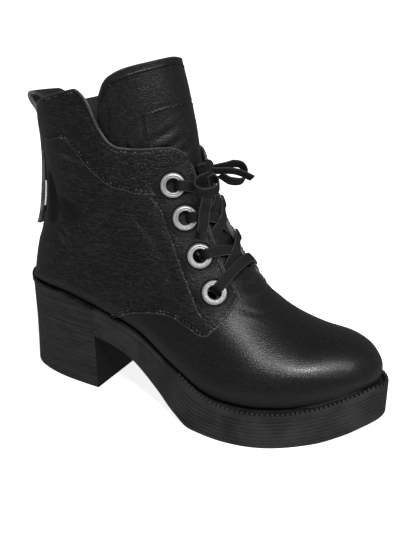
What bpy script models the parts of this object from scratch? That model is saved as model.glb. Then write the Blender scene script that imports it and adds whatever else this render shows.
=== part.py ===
"""Right-foot lace-up ankle bootie on a ribbed platform sole with a block heel.

Sizes are in millimetres and turn into metres when a piece is made. The origin is on the floor under
the middle of the heel, +X runs to the toe, +Y to the inner side of the foot and +Z up.
"""
import math

import bmesh
import bpy
import numpy as np

MM = 0.001
GAP = 0.3
LATERAL = -1
MEDIAL = 1
SIDES = (LATERAL, MEDIAL)

for old in list(bpy.data.objects):
    bpy.data.objects.remove(old, do_unlink=True)


# Smooth lines through short tables
def along(table, place, steady=True):
    """Rows of a table at fractional places on a smooth line; a steady line never overshoots its rows."""
    place = np.clip(np.asarray(place, float), 0, len(table) - 1)
    rise = np.diff(table, axis=0)
    tangent = np.concatenate([rise[:1], (rise[:-1] + rise[1:]) / 2, rise[-1:]])
    if steady:
        steep = 3 * np.minimum(np.abs(rise[:-1]), np.abs(rise[1:]))
        same_way = rise[:-1] * rise[1:] > 0
        tangent[1:-1] = np.where(same_way, np.clip(tangent[1:-1], -steep, steep), 0)
    low = np.minimum(place.astype(int), len(table) - 2)
    t = (place - low)[..., None]
    blend = 2 * t**3 - 3 * t**2 + 1
    return (blend * table[low] + (t**3 - 2 * t**2 + t) * tangent[low]
            + (1 - blend) * table[low + 1] + (t**3 - t**2) * tangent[low + 1])


def curve(points, x):
    """Values at x of a smooth line through (x, value) points that never overshoots them."""
    px, py = np.array(points, float).T
    slope = np.diff(py) / np.diff(px)
    tangent = np.concatenate([slope[:1], (slope[:-1] + slope[1:]) / 2, slope[-1:]])
    steep = 3 * np.minimum(np.abs(slope[:-1]), np.abs(slope[1:]))
    same_way = slope[:-1] * slope[1:] > 0
    tangent[1:-1] = np.where(same_way, np.clip(tangent[1:-1], -steep, steep), 0)
    x = np.clip(np.asarray(x, float), px[0], px[-1])
    low = np.clip(np.searchsorted(px, x, side="right") - 1, 0, len(px) - 2)
    span = px[low + 1] - px[low]
    t = (x - px[low]) / span
    blend = 2 * t**3 - 3 * t**2 + 1
    return (blend * py[low] + (t**3 - 2 * t**2 + t) * span * tangent[low]
            + (1 - blend) * py[low + 1] + (t**3 - t**2) * span * tangent[low + 1])


# Meshes and objects
def weld(points, faces, *values):
    """Joins points that fall together and drops the face corners that vanish with them."""
    keys, first, place = np.unique(np.round(points, 3), axis=0, return_index=True, return_inverse=True)
    place = place.ravel()
    kept = []
    for face in faces:
        corners = [int(place[i]) for i in face]
        corners = [c for k, c in enumerate(corners) if c != corners[k - 1]]
        if len(set(corners)) > 2:
            kept.append(tuple(corners))
    return (np.asarray(points)[first], kept) + tuple(np.asarray(v)[first] for v in values)


def sheet_normals(points, faces):
    """Unit normals at the points of a sheet, averaged over the faces around each."""
    normals = np.zeros_like(points)
    for face in faces:
        corner = points[list(face)]
        normal = np.cross(corner[2] - corner[0], corner[-1] - corner[1])
        if len(face) == 3:
            normal = np.cross(corner[1] - corner[0], corner[2] - corner[0])
        for i in face:
            normals[i] += normal
    return normals / np.linalg.norm(normals, axis=1)[:, None]


def shell(points, faces, normals, rise, depth):
    """Closed skin around a sheet: its points moved out by rise and in by depth, with closed rims."""
    count = len(points)
    skin = np.concatenate([points + normals * np.asarray(rise)[:, None],
                           points - normals * np.asarray(depth)[:, None]])
    edges = set()
    for face in faces:
        for k, a in enumerate(face):
            edges.add((face[k - 1], a))
    rims = [(b, a, a + count, b + count) for a, b in sorted(edges) if (b, a) not in edges]
    backs = [tuple(i + count for i in reversed(face)) for face in faces]
    return skin, list(faces) + backs + rims


def grid_faces(rows, columns, start=0, flip=False):
    """Four-sided faces over a grid of points numbered row by row."""
    faces = []
    for j in range(rows - 1):
        for i in range(columns - 1):
            a = start + j * columns + i
            face = (a, a + columns, a + columns + 1, a + 1)
            faces.append(face[::-1] if flip else face)
    return faces


def piece(name, points, faces, colour, roughness, metallic=0.0):
    """One solid with its own material, from points in millimetres."""
    points, faces = weld(points, faces)
    mesh = bpy.data.meshes.new(name)
    mesh.from_pydata((points * MM).tolist(), [], faces)
    bm = bmesh.new()
    bm.from_mesh(mesh)
    bmesh.ops.triangulate(bm, faces=bm.faces)
    bmesh.ops.recalc_face_normals(bm, faces=bm.faces)
    bm.to_mesh(mesh)
    bm.free()
    material = bpy.data.materials.new(name)
    material.use_nodes = True
    shader = material.node_tree.nodes["Principled BSDF"]
    shader.inputs["Base Color"].default_value = (*colour, 1.0)
    shader.inputs["Roughness"].default_value = roughness
    shader.inputs["Metallic"].default_value = metallic
    mesh.materials.append(material)
    made = bpy.data.objects.new(name, mesh)
    bpy.context.scene.collection.objects.link(made)
    return made


def combine(target, others, operation):
    """Cuts the other solids out of a piece, or joins them to it, and removes them."""
    for other in others:
        cutter = target.modifiers.new(other.name, "BOOLEAN")
        cutter.operation = operation
        cutter.solver = "EXACT"
        cutter.object = other
        other.hide_render = True
        other.display_type = "WIRE"
    bpy.context.view_layer.update()
    view = bpy.context.evaluated_depsgraph_get()
    mesh = bpy.data.meshes.new_from_object(target.evaluated_get(view))
    target.modifiers.clear()
    material = target.data.materials[0]
    target.data = mesh
    mesh.materials.clear()
    mesh.materials.append(material)
    for other in others:
        bpy.data.objects.remove(other, do_unlink=True)


# The last: the form that the upper is pulled over, as sections from the toe to above the collar.
# Each section runs in a plane from a point on the top line to a point at the feather line or, above
# the heel, on the back line. widest_at is the share of that run where the half-widths hold.
LAST_COLUMNS = ("dorsal_x", "dorsal_y", "dorsal_z", "base_x", "base_y", "base_z", "lateral", "medial",
                "base_lateral", "base_medial", "widest_at", "crown", "flank")
LAST_SECTIONS = {
    "toe_tip": (209.0, 16.0, 36.5, 208.5, 16.0, 28.6, 0.0, 0.0, 0.0, 0.0, 0.70, 2.0, 2.0),
    "toe_wall": (207.5, 16.0, 41.5, 207.0, 15.5, 28.2, 10.5, 10.0, 10.0, 9.5, 0.70, 2.1, 2.0),
    "toe_round": (203.5, 15.5, 47.0, 203.0, 14.5, 26.8, 18.5, 16.5, 17.5, 16.0, 0.70, 2.2, 2.0),
    "toe_cap": (196.5, 14.5, 52.5, 195.5, 13.0, 24.6, 26.5, 23.5, 25.5, 22.5, 0.72, 2.3, 2.0),
    "toe_box": (185.0, 12.0, 57.0, 183.0, 10.5, 22.4, 34.5, 31.0, 33.5, 30.0, 0.74, 2.3, 2.0),
    "joint": (166.0, 8.0, 60.5, 163.0, 5.5, 21.4, 41.5, 37.5, 40.5, 36.5, 0.76, 2.2, 2.0),
    "ball": (149.0, 4.0, 68.0, 140.0, 1.0, 22.0, 44.5, 41.5, 43.5, 40.5, 0.78, 2.1, 2.0),
    "vamp": (133.0, 1.5, 82.0, 116.0, -1.5, 24.8, 42.5, 39.5, 41.0, 37.5, 0.78, 2.0, 2.0),
    "throat": (119.5, 0.0, 99.5, 90.0, -2.0, 36.0, 38.5, 35.5, 35.0, 30.5, 0.74, 2.0, 2.0),
    "waist": (110.0, 0.0, 115.5, 62.0, -1.5, 50.5, 35.5, 33.5, 30.0, 27.0, 0.66, 2.0, 2.0),
    "shank": (103.5, 0.0, 129.5, 34.0, -0.5, 59.0, 34.5, 33.5, 29.5, 28.0, 0.60, 2.0, 2.0),
    "heel_front": (99.0, 0.0, 141.0, 8.0, 0.0, 64.9, 35.0, 34.5, 28.5, 28.0, 0.56, 2.0, 1.9),
    "heel_mid": (96.0, 0.0, 150.0, -12.0, 0.0, 66.5, 35.5, 35.0, 25.0, 25.0, 0.54, 2.0, 1.6),
    "heel_turn": (94.0, 0.0, 157.0, -25.0, 0.0, 67.2, 36.0, 35.5, 16.5, 16.5, 0.53, 2.0, 1.25),
    "heel_back": (92.5, 0.0, 163.0, -31.0, 0.0, 68.3, 36.0, 36.0, 0.0, 0.0, 0.52, 2.0, 1.0),
    "counter": (91.0, 0.0, 170.0, -26.5, 0.0, 88.0, 36.5, 36.5, 0.0, 0.0, 0.51, 2.0, 1.0),
    "ankle": (89.0, 0.0, 179.0, -18.0, 0.0, 112.0, 37.0, 37.0, 0.0, 0.0, 0.50, 2.0, 1.0),
    "shaft": (86.0, 0.0, 190.0, -15.0, 0.0, 138.0, 38.0, 38.0, 0.0, 0.0, 0.50, 2.0, 1.0),
    "collar": (82.5, 0.0, 203.0, -16.0, 0.0, 164.0, 38.5, 38.5, 0.0, 0.0, 0.50, 2.0, 1.0),
    "rim": (78.5, 0.0, 216.0, -19.0, 0.0, 188.0, 39.0, 39.0, 0.0, 0.0, 0.50, 2.0, 1.0),
    "above": (76.0, 0.0, 226.0, -21.0, 0.0, 205.0, 39.5, 39.5, 0.0, 0.0, 0.50, 2.0, 1.0),
}
LAST = np.array(list(LAST_SECTIONS.values()))
SECTION_NAMES = list(LAST_SECTIONS)
HEEL_BACK = float(SECTION_NAMES.index("heel_back"))
QUARTER_TURN = np.linspace(0, math.pi / 2, 25)
FEATHER_SAMPLES = 300
FEATHER_COLUMNS = [LAST_COLUMNS.index("base_x"), LAST_COLUMNS.index("base_z")]
FEATHER = along(LAST, np.linspace(HEEL_BACK, 0, FEATHER_SAMPLES))[:, FEATHER_COLUMNS]


def half_sections(place, side):
    """Points of half sections from the top line down to the base, for an array of places."""
    column = dict(zip(LAST_COLUMNS, along(LAST, place).T[..., None]))
    width = column["lateral"] if side == LATERAL else column["medial"]
    base = column["base_lateral"] if side == LATERAL else column["base_medial"]
    run_top = column["widest_at"] * (1 - np.cos(QUARTER_TURN) ** (2 / column["crown"]))
    run_low = column["widest_at"] + (1 - column["widest_at"]) * np.sin(QUARTER_TURN[1:])
    out_top = width * np.sin(QUARTER_TURN) ** (2 / column["crown"])
    out_low = base + (width - base) * np.cos(QUARTER_TURN[1:]).clip(0) ** column["flank"]
    run = np.concatenate([run_top, run_low], axis=1)
    out = np.concatenate([out_top, out_low], axis=1)
    x = column["dorsal_x"] + (column["base_x"] - column["dorsal_x"]) * run
    y = column["dorsal_y"] + (column["base_y"] - column["dorsal_y"]) * run + side * out
    z = column["dorsal_z"] + (column["base_z"] - column["dorsal_z"]) * run
    return np.stack([x, y, z], axis=-1)


def last_points(place, share, side):
    """Points of the last at a section place and at a share of the way round, top line 0 to base 1."""
    place, share = np.broadcast_arrays(np.asarray(place, float), np.asarray(share, float))
    lines = half_sections(place.ravel(), side)
    lengths = np.linalg.norm(np.diff(lines, axis=1), axis=2)
    marks = np.concatenate([np.zeros((len(lines), 1)), np.cumsum(lengths, axis=1)], axis=1)
    wanted = share.ravel() * marks[:, -1]
    low = np.clip((marks < wanted[:, None]).sum(axis=1) - 1, 0, lengths.shape[1] - 1)
    row = np.arange(len(lines))
    t = ((wanted - marks[row, low]) / np.maximum(lengths[row, low], 1e-9)).clip(0, 1)[:, None]
    return (lines[row, low] * (1 - t) + lines[row, low + 1] * t).reshape(place.shape + (3,))


def last_normals(place, share, side, step_place=0.05, step_share=0.01):
    """Outward unit normals of the last."""
    share = np.clip(np.asarray(share, float), step_share, 1 - step_share)
    ahead = last_points(np.add(place, step_place), share, side)
    behind = last_points(np.subtract(place, step_place), share, side)
    around = last_points(place, share + step_share, side) - last_points(place, share - step_share, side)
    normal = np.cross(ahead - behind, around) * (1 if side == LATERAL else -1)
    return normal / np.linalg.norm(normal, axis=-1, keepdims=True)


def feather_height(x):
    """Height of the feather line, where upper and sole meet, at a place along the shoe."""
    return np.interp(x, *FEATHER.T)


# Leather seams of the upper, as (share of the way from the throat edge to the base, section place)
THROAT_EDGE = ((0.0, 0.20), (7.65, 0.20), (7.9, 0.185), (9.0, 0.13), (10.5, 0.08), (12.7, 0.055),
               (20.0, 0.055))
VAMP_SEAM = ((0.0, 7.2), (0.17, 7.2), (0.31, 7.26), (0.42, 7.38), (0.4975, 7.49), (0.535, 7.72),
             (0.562, 8.07), (0.597, 8.42), (0.665, 8.74), (0.76, 9.07), (0.862, 9.35), (1.0, 9.57))
BAND_SEAM = ((0.0, 12.0), (0.1, 12.1), (0.172, 12.36), (0.19, 12.83), (0.209, 13.65), (0.252, 14.49),
             (0.304, 14.98), (0.358, 15.49), (0.413, 16.05), (0.463, 16.56), (0.508, 17.06), (0.542, 17.42),
             (0.582, 17.66), (0.622, 17.76), (1.0, 17.85))
TOP_LINE = ((0.0, 13.9), (0.01, 14.43), (0.038, 15.07), (0.081, 15.55), (0.14, 15.91), (0.222, 16.31),
            (0.28, 16.59), (0.328, 16.87), (0.367, 17.31), (0.396, 17.92), (0.415, 18.48), (0.444, 18.88),
            (0.478, 19.04), (0.565, 19.04), (0.836, 18.84), (1.0, 18.7))
MEDIAL_TOP_DROP = ((0.0, 0.8), (0.2, 0.7), (0.45, 0.62), (0.6, 0.52), (0.737, 0.38), (0.831, 0.24),
                   (0.9, 0.12), (1.0, 0.0))

# The upper: vamp, quarters lapped over it and a collar band lapped over the quarters, in one wall
WALL = 1.5
QUARTER_RISE = 0.9
BAND_RISE = 0.6
BAND_START = 0.19
SEAM_STEP = 0.04
THROAT_FOOT = 7.65
THROAT_COLUMNS = (0.0, 0.3, 0.6, 0.85, 0.96)
SIDE_COLUMNS = (0.0, 0.012, 0.04, 0.09, 0.15, 0.18, 0.20, 0.26, 0.32, 0.365, 0.395, 0.42, 0.45, 0.4975,
                0.524, 0.547, 0.6, 0.68, 0.78, 0.89, 1.0)
VAMP_ROWS = (0.0, 0.06, 0.13, 0.21, 0.30, 0.41, 0.55, 0.70, 0.80, 0.87, 0.94)
QUARTER_ROWS = (0.0, 0.20, 0.31, 0.41, 0.48, 0.65, 0.77, 0.89)
BAND_ROWS = (0.0, 0.5, 1.0)
LEATHER = (0.012, 0.012, 0.013)
UPPER_ROUGHNESS = 0.38


def throat_share(place):
    """Share of the way round at which the throat's edge lies."""
    return curve(THROAT_EDGE, place)


def quarter_rows():
    """Shares of the run from vamp seam to band seam, with one on the heel's back and one on the throat."""
    seam_front, seam_base = curve(VAMP_SEAM, (0.0, 1.0))
    band_front, band_base = curve(BAND_SEAM, (0.0, 1.0))
    throat = (THROAT_FOOT - seam_front) / (band_front - seam_front)
    heel = (HEEL_BACK - seam_base) / (band_base - seam_base)
    return sorted(QUARTER_ROWS + (throat, heel))


def upper_rows(share, side):
    """Section places of every row of the upper at one column, with the leather's rise over the last."""
    seam = float(curve(VAMP_SEAM, share))
    band = float(curve(BAND_SEAM, share))
    top = float(curve(TOP_LINE, share))
    if side == MEDIAL:
        top -= float(curve(MEDIAL_TOP_DROP, share))
    band_rise = QUARTER_RISE + (BAND_RISE if share > BAND_START else 0.0)
    rows = [(seam * f, 0.0) for f in VAMP_ROWS]
    rows.append((seam - SEAM_STEP, 0.0))
    rows += [(seam + (band - seam) * f, QUARTER_RISE) for f in quarter_rows()]
    rows.append((band - SEAM_STEP, QUARTER_RISE))
    rows += [(band + (top - band) * f, band_rise) for f in BAND_ROWS]
    return np.array(rows)


def upper_sheet():
    """Sheet of the upper on the last: points, faces, rises and which points lie on the feather line."""
    points, faces, rises, on_base = [], [], [], []
    throat_rows = len(VAMP_ROWS) + 3
    for side in SIDES:
        columns = [upper_rows(c, side) for c in SIDE_COLUMNS]
        places = np.array([c[:, 0] for c in columns]).T
        rise = np.array([c[:, 1] for c in columns]).T
        edge = throat_share(places)
        share = edge + np.array(SIDE_COLUMNS) * (1 - edge)
        side_points = last_points(places, share, side)
        base = np.zeros(places.shape, bool)
        base[:, -1] = places[:, -1] < HEEL_BACK + 1e-6
        front = places[:throat_rows, :1]
        throat_share_now = throat_share(front) * np.array(THROAT_COLUMNS)
        throat_points = last_points(np.broadcast_to(front, throat_share_now.shape), throat_share_now, side)
        start = len(points)
        points += list(side_points.reshape(-1, 3))
        rises += list(rise.ravel())
        on_base += list(base.ravel())
        faces += grid_faces(*places.shape, start, flip=side == MEDIAL)
        throat_start = len(points)
        throat_points = np.concatenate([throat_points, side_points[:throat_rows, :1]], axis=1)
        points += list(throat_points.reshape(-1, 3))
        joined = np.zeros((throat_rows, len(THROAT_COLUMNS) + 1))
        joined[:, -1] = rise[:throat_rows, 0]
        rises += list(joined.ravel())
        on_base += [False] * joined.size
        faces += grid_faces(*joined.shape, throat_start, flip=side == MEDIAL)
    return weld(np.array(points), faces, np.array(rises), np.array(on_base))


upper_points, upper_faces, upper_rise, upper_on_base = upper_sheet()
upper_normals = sheet_normals(upper_points, upper_faces)
upper_normals[upper_on_base, 2] = 0
upper_normals /= np.linalg.norm(upper_normals, axis=1)[:, None]
upper_depth = np.full(len(upper_points), WALL)
upper_skin = shell(upper_points, upper_faces, upper_normals, upper_rise, upper_depth)
upper = piece("upper", *upper_skin, LEATHER, UPPER_ROUGHNESS)


# The tongue: a wide tall panel inside the throat, wrapped round the front of the ankle, with round corners
TONGUE_SINK = WALL + 0.8
TONGUE_THICKNESS = 1.8
TONGUE_FOOT = 6.9
TONGUE_WIDTH = ((6.9, 0.20), (7.7, 0.235), (9.0, 0.26), (11.0, 0.28), (13.0, 0.31), (14.5, 0.36),
                (16.0, 0.44), (17.0, 0.45), (18.0, 0.425), (18.6, 0.405), (19.5, 0.40))
TONGUE_TOP = ((-1.0, 18.55), (-0.92, 18.98), (-0.8, 19.25), (-0.45, 19.4), (-0.1, 19.38), (0.2, 19.15),
              (0.6, 18.95), (0.92, 18.7), (1.0, 18.35))
TONGUE_COLUMNS = (0.0, 0.12, 0.25, 0.4, 0.56, 0.72, 0.86, 0.94, 1.0)
TONGUE_ROWS = 13
TONGUE_ROUGHNESS = 0.42


def tongue_sheet():
    """Sheet of the tongue on the last."""
    points, faces = [], []
    columns = np.array(TONGUE_COLUMNS)
    rows = np.linspace(0, 1, TONGUE_ROWS)[:, None]
    for side in SIDES:
        places = TONGUE_FOOT + (curve(TONGUE_TOP, side * columns) - TONGUE_FOOT) * rows
        shares = curve(TONGUE_WIDTH, places) * columns
        start = len(points)
        points += list(last_points(places, shares, side).reshape(-1, 3))
        faces += grid_faces(*places.shape, start, flip=side == MEDIAL)
    return weld(np.array(points), faces)


tongue_points, tongue_faces = tongue_sheet()
tongue_normals = sheet_normals(tongue_points, tongue_faces)
tongue_rise = np.full(len(tongue_points), -TONGUE_SINK)
tongue_depth = TONGUE_THICKNESS - tongue_rise
tongue_skin = shell(tongue_points, tongue_faces, tongue_normals, tongue_rise, tongue_depth)
piece("tongue", *tongue_skin, LEATHER, TONGUE_ROUGHNESS)


# The insole: a padded board that lies on the sole inside the upper
INSOLE_INSET = WALL + 2.2
INSOLE_THICKNESS = 3.0
INSOLE_PLACES = np.array((0.0, 0.5, 1.0, 1.5, 2.2, 3.0, 4.0, 5.0, 6.0, 6.5, 7.0, 7.5, 8.0, 8.5, 9.0, 9.5,
                          10.0, 10.5, 11.0, 11.5, 12.0, 12.6, 13.2, 13.6, 14.0))
INSOLE_COLOUR = (0.03, 0.028, 0.026)
INSOLE_ROUGHNESS = 0.8
SEAT_DROP = 0.7


def plan_normals(outline):
    """Outward unit normals, level with the floor, of an outline that runs from lateral round to medial."""
    run = np.gradient(outline[:, :2], axis=0)
    normals = np.stack([-run[:, 1], run[:, 0], np.zeros(len(run))], axis=1)
    normals /= np.linalg.norm(normals, axis=1)[:, None]
    outwards = np.sum(normals * (outline - outline.mean(axis=0)))
    return normals if outwards > 0 else -normals


def insole_outline():
    """Foot outline of the last from the heel's back round the lateral side, the toe and the medial side."""
    lateral = last_points(INSOLE_PLACES[::-1], np.ones(len(INSOLE_PLACES)), LATERAL)
    medial = last_points(INSOLE_PLACES, np.ones(len(INSOLE_PLACES)), MEDIAL)
    return np.concatenate([lateral, medial[1:]])


foot_outline = insole_outline()
foot_normals = plan_normals(foot_outline)
foot_normals[[0, -1]] = (-1.0, 0.0, 0.0)
insole_low = foot_outline - foot_normals * INSOLE_INSET
insole_low[:, 2] = feather_height(insole_low[:, 0])
insole_high = insole_low + (0.0, 0.0, INSOLE_THICKNESS)
insole_count = len(insole_low)
insole_faces = []
for i in range(insole_count - 1):
    insole_faces.append((i, i + 1, i + 1 + insole_count, i + insole_count))
for i in range(insole_count // 2):
    j = insole_count - 1 - i
    insole_faces.append((i, i + 1, j - 1, j))
    insole_faces.append((i + insole_count, j + insole_count, j - 1 + insole_count, i + 1 + insole_count))
piece("insole", np.concatenate([insole_low, insole_high]), insole_faces, INSOLE_COLOUR, INSOLE_ROUGHNESS)


# The sole: a thick moulded board from the heel's breast to the toe, with a welt band above a ribbed wall
SOLE_COLUMNS = ("top_x", "low_x", "low_z", "lateral_y", "medial_y", "low_lateral_y", "low_medial_y")
SOLE_SECTIONS = {
    "breast": (30.3, 30.3, 39.5, -33.4, 31.4, -31.4, 29.6),
    "waist_back": (46.0, 45.0, 36.5, -33.6, 30.2, -31.8, 28.6),
    "waist": (64.0, 61.0, 29.3, -34.2, 29.2, -32.6, 27.6),
    "waist_front": (84.0, 79.0, 16.2, -37.5, 30.4, -36.0, 29.0),
    "shank_end": (100.0, 94.0, 6.0, -42.2, 33.8, -41.2, 32.8),
    "ball_back": (115.0, 110.0, 0.0, -46.6, 38.6, -46.2, 38.2),
    "ball": (133.0, 131.0, 0.0, -49.0, 43.4, -49.0, 43.4),
    "joint_back": (150.0, 150.0, 0.0, -46.6, 46.2, -46.6, 46.2),
    "joint": (166.0, 166.0, 0.0, -39.4, 46.9, -39.4, 46.6),
    "toe_box": (182.0, 182.0, 0.0, -26.6, 44.8, -26.6, 44.0),
    "toe_cap": (195.4, 195.6, 1.4, -11.2, 39.8, -11.2, 38.6),
    "toe_round": (204.8, 204.8, 4.0, 0.4, 33.0, 0.6, 31.6),
    "toe_wall": (210.8, 210.6, 6.2, 8.6, 25.6, 8.6, 24.4),
    "toe_front": (212.9, 212.6, 7.3, 12.8, 21.0, 12.6, 20.2),
    "toe_tip": (213.4, 213.0, 7.6, 16.8, 16.8, 16.4, 16.4),
}
SOLE = np.array(list(SOLE_SECTIONS.values()))
SOLE_PLACES = np.array((0, 0.8, 1.6, 2.3, 3, 3.7, 4.4, 5, 5.8, 6.6, 7.4, 8.2, 9, 9.7, 10.4, 11, 11.6, 12.2,
                        13, 14))
SOLE_COLOUR = (0.03, 0.03, 0.031)
SOLE_ROUGHNESS = 0.6
RIBS = 7
RIB_DEPTH = 0.8
RIB_FLAT = 0.72
RIB_BOTTOM = 0.86
WELT_SHARE = 0.15
WELT_GROOVE = 0.03


def rib_profile():
    """Wall of the sole from its top edge down, as (share of the height, step outwards) pairs."""
    profile = [(0.0, 0.0), (WELT_SHARE, 0.0), (WELT_SHARE + WELT_GROOVE / 2, -RIB_DEPTH)]
    first = WELT_SHARE + WELT_GROOVE
    pitch = (1.0 - first) / RIBS
    for rib in range(RIBS):
        top = first + rib * pitch
        profile += [(top, 0.0), (top + RIB_FLAT * pitch, 0.0)]
        if rib < RIBS - 1:
            profile.append((top + RIB_BOTTOM * pitch, -RIB_DEPTH))
    profile.append((1.0, 0.0))
    return profile


def sole_edges():
    """Top and bottom edges of the wall, from the lateral breast round the toe to the medial breast."""
    column = dict(zip(SOLE_COLUMNS, along(SOLE, SOLE_PLACES).T))
    top_z = feather_height(column["top_x"]) - SEAT_DROP
    low_z = column["low_z"].clip(0)
    top, low = [], []
    for side_y, side_low_y in (("lateral_y", "low_lateral_y"), ("medial_y", "low_medial_y")):
        top.append(np.stack([column["top_x"], column[side_y], top_z], axis=1))
        low.append(np.stack([column["low_x"], column[side_low_y], low_z], axis=1))
    return np.concatenate([top[0], top[1][-2::-1]]), np.concatenate([low[0], low[1][-2::-1]])


def walled_solid(top, low, profile):
    """Solid between two edges with a stepped wall, closed above, below and across its open end."""
    normals = plan_normals(top)
    rows = len(top)
    columns = len(profile)
    share = np.array([p[0] for p in profile])[None, :, None]
    step = np.array([p[1] for p in profile])[None, :, None]
    points = top[:, None] * (1 - share) + low[:, None] * share + normals[:, None] * step
    faces = grid_faces(rows, columns)
    number = np.arange(rows * columns).reshape(rows, columns)
    for i in range(rows // 2):
        j = rows - 1 - i
        faces.append((number[i, 0], number[i + 1, 0], number[j - 1, 0], number[j, 0]))
        faces.append((number[i, -1], number[j, -1], number[j - 1, -1], number[i + 1, -1]))
    for k in range(columns - 1):
        faces.append((number[0, k], number[-1, k], number[-1, k + 1], number[0, k + 1]))
    return points.reshape(-1, 3), faces


piece("outsole", *walled_solid(*sole_edges(), rib_profile()), SOLE_COLOUR, SOLE_ROUGHNESS)


# The heel: a tall block that takes the upper's back on its seat, with a thin rim around the top
HEEL_COLUMNS = ("top_x", "top_half", "tread_x", "tread_half")
HEEL_SECTIONS = {
    "breast": (30.0, 33.4, 30.0, 29.2),
    "front": (18.0, 32.6, 18.0, 28.4),
    "middle": (4.0, 31.0, 3.0, 26.8),
    "rear": (-10.0, 28.2, -10.0, 23.9),
    "turn": (-21.0, 23.4, -20.5, 20.0),
    "round": (-28.5, 17.4, -27.5, 16.0),
    "back_wall": (-33.6, 10.0, -32.6, 10.6),
    "back_round": (-35.3, 5.0, -34.9, 5.3),
    "back": (-35.8, 0.0, -35.6, 0.0),
}
HEEL = np.array(list(HEEL_SECTIONS.values()))
HEEL_PLACES = np.array((0, 0.6, 1.3, 2, 2.6, 3.2, 3.8, 4.3, 4.8, 5.3, 5.7, 6, 6.5, 7, 8))
HEEL_COLOUR = (0.035, 0.035, 0.036)
HEEL_ROUGHNESS = 0.55
HEEL_WALL = ((0.0, 0.0), (0.05, 0.0), (0.065, -0.8), (0.5, -0.9), (0.97, 0.0), (1.0, -0.5))


def heel_edges():
    """Top and tread edges of the heel, from the lateral breast round the back to the medial breast."""
    column = dict(zip(HEEL_COLUMNS, along(HEEL, HEEL_PLACES).T))
    top_z = feather_height(column["top_x"]) - SEAT_DROP
    top, low = [], []
    for side in SIDES:
        top.append(np.stack([column["top_x"], side * column["top_half"], top_z], axis=1))
        low.append(np.stack([column["tread_x"], side * column["tread_half"], np.zeros(len(top_z))], axis=1))
    return np.concatenate([top[0], top[1][-2::-1]]), np.concatenate([low[0], low[1][-2::-1]])


piece("heel", *walled_solid(*heel_edges(), HEEL_WALL), HEEL_COLOUR, HEEL_ROUGHNESS)


# Eyelets: four large rolled rings on each facing, each with a barrel through a hole in the leather
EYELET_COLUMNS = ("section_place", "share_round")
EYELETS = {
    "1": (12.67, 0.151),
    "2": (10.50, 0.192),
    "3": (8.98, 0.260),
    "4": (7.90, 0.333),
}
EYELET_BORE = 4.0
EYELET_BARREL = 4.6
EYELET_FLANGE = 7.5
EYELET_CREST = 5.9
EYELET_DOME = 1.7
EYELET_LIP = 1.26
EYELET_DEPTH = 2.6
EYELET_TURNS = 12
HOLE_RADIUS = EYELET_BARREL + GAP
HOLE_REACH = 7.0
FACET_ROOM = 0.4
SEAT_SAMPLES = 29
SEAT_PLACES = np.linspace(-0.7, 0.7, SEAT_SAMPLES)
SEAT_SHARES = np.linspace(-0.1, 0.1, SEAT_SAMPLES)
EYELET_PROFILE = ((EYELET_BORE, -EYELET_DEPTH), (EYELET_BORE, EYELET_LIP), (EYELET_CREST, EYELET_DOME),
                  (EYELET_FLANGE, 0.0), (EYELET_BARREL, 0.0), (EYELET_BARREL, -EYELET_DEPTH))
STEEL = (0.78, 0.78, 0.79)
EYELET_ROUGHNESS = 0.25


def leather_points(place, share, side):
    """Points on the outside of the quarters."""
    return last_points(place, share, side) + last_normals(place, share, side) * QUARTER_RISE


def eyelet_seat(place, share, side):
    """Centre, axis and lift of an eyelet: it stands clear of the highest leather under its flange."""
    centre = leather_points(place, share, side)
    axis = last_normals(place, share, side)
    around_place, around_share = np.meshgrid(SEAT_PLACES, SEAT_SHARES)
    near = leather_points(place + around_place, share + around_share, side).reshape(-1, 3) - centre
    height = near @ axis
    under = np.linalg.norm(near - height[:, None] * axis, axis=1) < EYELET_FLANGE
    return centre, axis, float(height[under].max()) + GAP + FACET_ROOM


def turned(profile, centre, axis, turns):
    """Ring turned from a closed (radius, height) profile around an axis."""
    across = np.cross(axis, (0.0, 0.0, 1.0))
    across /= np.linalg.norm(across)
    third = np.cross(axis, across)
    points, faces = [], []
    for k in range(turns):
        angle = 2 * math.pi * k / turns
        spoke = across * math.cos(angle) + third * math.sin(angle)
        points += [centre + spoke * radius + axis * height for radius, height in profile]
    size = len(profile)
    for k in range(turns):
        for i in range(size):
            a, b = k * size + i, k * size + (i + 1) % size
            c, d = (k + 1) % turns * size + (i + 1) % size, (k + 1) % turns * size + i
            faces.append((a, b, c, d))
    return np.array(points), faces


def pin(centre, axis, radius, reach, turns):
    """Round bar along an axis, both ends closed."""
    points, faces = turned(((radius, -reach), (radius, reach)), centre, axis, turns)
    low = [2 * k for k in range(turns)]
    high = [2 * k + 1 for k in range(turns)]
    sides = [(2 * k, 2 * k + 1, 2 * ((k + 1) % turns) + 1, 2 * ((k + 1) % turns)) for k in range(turns)]
    return points, sides + [tuple(low), tuple(reversed(high))]


hole_cutters = []
for side, side_name in ((LATERAL, "lateral"), (MEDIAL, "medial")):
    for label, (place, share) in EYELETS.items():
        centre, axis, lift = eyelet_seat(place, share, side)
        ring = turned(EYELET_PROFILE, centre + axis * lift, axis, EYELET_TURNS)
        piece(f"eyelet_{side_name}_{label}", *ring, STEEL, EYELET_ROUGHNESS, 1.0)
        hole = pin(centre, axis, HOLE_RADIUS, HOLE_REACH, EYELET_TURNS)
        hole_cutters.append(piece(f"hole_{side_name}_{label}", *hole, LEATHER, UPPER_ROUGHNESS))
combine(upper, hole_cutters, "DIFFERENCE")


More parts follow.
